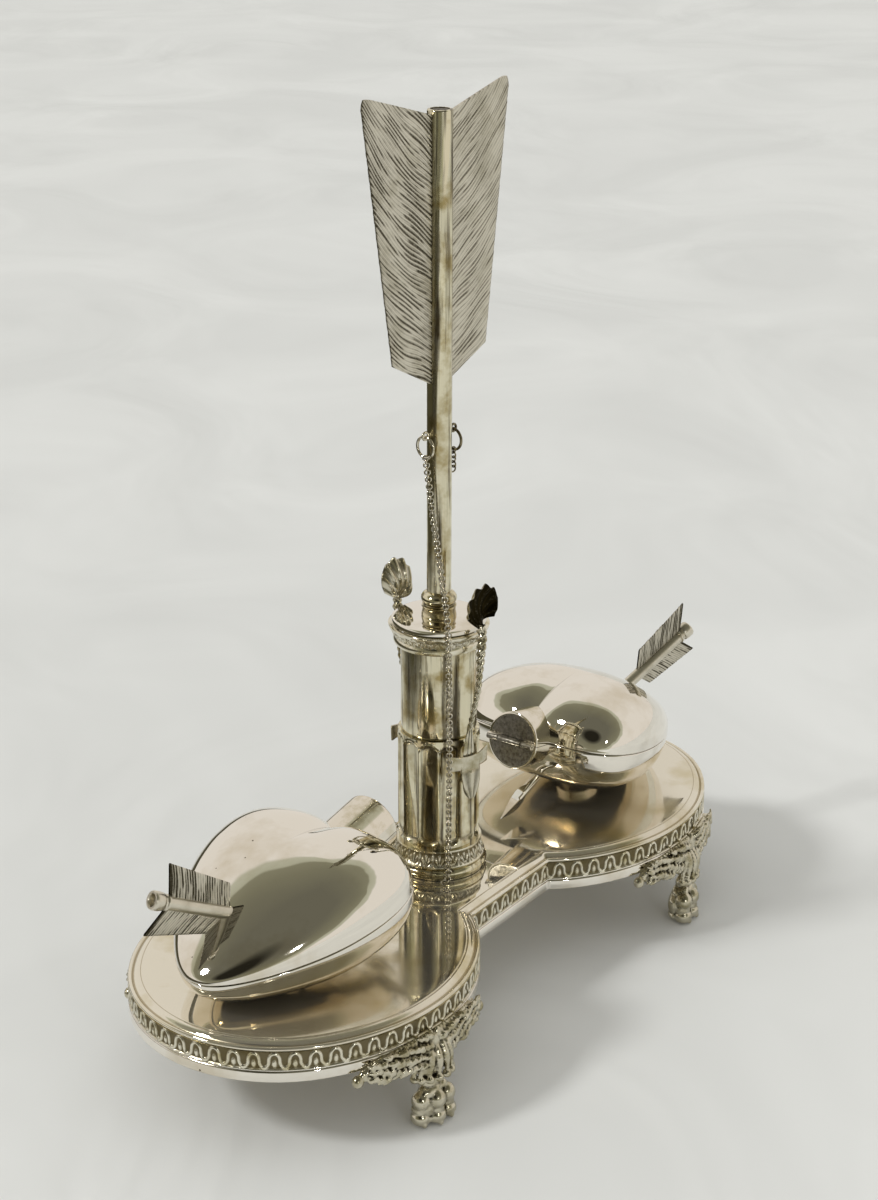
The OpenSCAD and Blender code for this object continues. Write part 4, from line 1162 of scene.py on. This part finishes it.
def cloth():
    """Pale cotton with faint soft folds. Past a line at the camera's left, the silver's reflections see it as
    a dim dark glow: a painted reflection of a dark room.
    """
    made = bpy.data.materials.new("pale_cloth")
    made.use_nodes = True
    tree = made.node_tree
    tree.nodes.clear()
    add = partial(node, tree)
    place = add("ShaderNodeTexCoord").outputs["Object"]
    folds = add("ShaderNodeTexNoise", {"Vector": place, "Scale": 5.0, "Detail": 3.0, "Distortion": 1.2})
    faint = add("ShaderNodeMapRange", {"Value": folds, "From Min": 0.35, "From Max": 0.65})
    tone = add("ShaderNodeMix", {"Factor": faint, "A": linear("#d9dad7"), "B": linear("#e1e2df")},
               data_type="RGBA")
    swell = add("ShaderNodeBump", {"Height": folds, "Strength": 1.0, "Distance": 0.006})
    shader = add("ShaderNodeBsdfPrincipled", {"Base Color": tone, "Roughness": 0.9, "Normal": swell})
    # painted reflection: past this line only glossy rays see the cloth, as a dim dark glow
    left = add("ShaderNodeVectorMath", {0: place, 1: (-0.569, 0.822, 0.0)}, operation="DOT_PRODUCT")
    edge = add("ShaderNodeMapRange", {"Value": left, "From Min": 0.17, "From Max": 0.30})
    glossy = add("ShaderNodeLightPath").outputs["Is Glossy Ray"]
    reflection_only_mask = add("ShaderNodeMath", {0: edge, 1: glossy}, operation="MULTIPLY")
    painted_reflection_glow = add("ShaderNodeEmission", {"Color": linear("#4b4838")})
    add("ShaderNodeOutputMaterial", {"Surface": add("ShaderNodeMixShader", {0: reflection_only_mask, 1: shader, 2: painted_reflection_glow})})
    return made


def make_floor():
    """The pale cloth the inkstand stands on."""
    bare()
    bpy.ops.mesh.primitive_plane_add(size=14, location=(0, 0, -0.0002))
    floor = settle(named("floor"))
    floor.data.materials.append(cloth())


def lamp(name, kind, way, away, power, **sizes):
    """A lamp in one direction from the arrow's foot, in metres away. A sun's size is an angle."""
    data = bpy.data.lights.new(name, kind)
    data.energy = power
    for key, value in sizes.items():
        setattr(data, key, value)
    made = bpy.data.objects.new(name, data)
    bpy.context.scene.collection.objects.link(made)
    made.location = way * away + Vector((0, 0, 0.08))
    made.rotation_euler = (-way).to_track_quat("-Z", "Y").to_euler()


def make_world():
    """The pale room, with the dark ceiling and the dark side behind the camera, which the silver mirrors."""
    world = bpy.data.worlds.new("studio")
    bpy.context.scene.world = world
    world.use_nodes = True
    tree = world.node_tree
    tree.nodes.clear()
    add = partial(node, tree)
    way = add("ShaderNodeTexCoord").outputs["Generated"]
    waves = add("ShaderNodeTexNoise", {"Vector": way, "Scale": 2.3, "Detail": 2.0})
    uneven = add("ShaderNodeMath", {0: waves, 1: 0.16, 2: -0.08}, operation="MULTIPLY_ADD")
    ceiling = add("ShaderNodeVectorMath", {0: way, 1: direction(-153, 57)}, operation="DOT_PRODUCT")
    shade = add("ShaderNodeMath", {0: ceiling, 1: uneven}, operation="ADD")
    tones = add("ShaderNodeValToRGB", {"Fac": shade})
    ramp = tones.color_ramp.elements
    ramp[0].position, ramp[0].color = 0.44, linear("#e4dfd8")
    ramp[1].position, ramp[1].color = 0.9, linear("#69675a")
    for position, code in ((0.465, "#b9b9a8"), (0.53, "#aeae9b"), (0.55, "#85836f"), (0.66, "#7b7966")):
        ramp.new(position).color = linear(code)
    person = add("ShaderNodeVectorMath", {0: way, 1: direction(-160, 33)}, operation="DOT_PRODUCT")
    near = add("ShaderNodeMapRange", {"Value": person, "From Min": 0.925, "From Max": 0.975})
    room = add("ShaderNodeMix", {"Factor": near, "A": tones, "B": linear("#25231c")}, data_type="RGBA")
    seen = add("ShaderNodeBackground", {"Color": room, "Strength": 1.0})
    soft = add("ShaderNodeBackground", {"Color": linear("#e4e3e0"), "Strength": 0.88})
    glossy = add("ShaderNodeLightPath").outputs["Is Glossy Ray"]
    add("ShaderNodeOutputWorld", {"Surface": add("ShaderNodeMixShader", {0: glossy, 1: soft, 2: seen})})


def make_camera():
    """A long lens a little above the arrow's collar, looking down on the left heart's end of the tray."""
    lens = bpy.data.cameras.new("camera")
    lens.sensor_fit = "VERTICAL"
    lens.sensor_height = 36
    lens.lens = 72.7
    lens.clip_start = 0.05
    made = bpy.data.objects.new("camera", lens)
    bpy.context.scene.collection.objects.link(made)
    around, down, roll = math.radians(-55.27), math.radians(21.38), math.radians(0.13)
    ahead = Vector((-math.sin(around) * math.cos(down), math.cos(around) * math.cos(down), -math.sin(down)))
    right = Vector((math.cos(around), math.sin(around), 0))
    up = right.cross(ahead)
    right_r = math.cos(roll) * right + math.sin(roll) * up
    up_r = -math.sin(roll) * right + math.cos(roll) * up
    turn = Matrix((right_r, up_r, -ahead)).transposed().to_4x4()
    turn.translation = (math.sin(around) * 0.781, -math.cos(around) * 0.781, 0.4065 + PLATE_Z * MM)
    made.matrix_world = turn
    bpy.context.scene.camera = made


make_floor()
make_world()
make_camera()
lamp("key", "SUN", direction(147, 42), 3, 1.25, angle=math.radians(9))
lamp("strip", "AREA", direction(-122, 19), 2.2, 3, shape="DISK", size=0.16)
bpy.context.scene.view_settings.view_transform = "Standard"
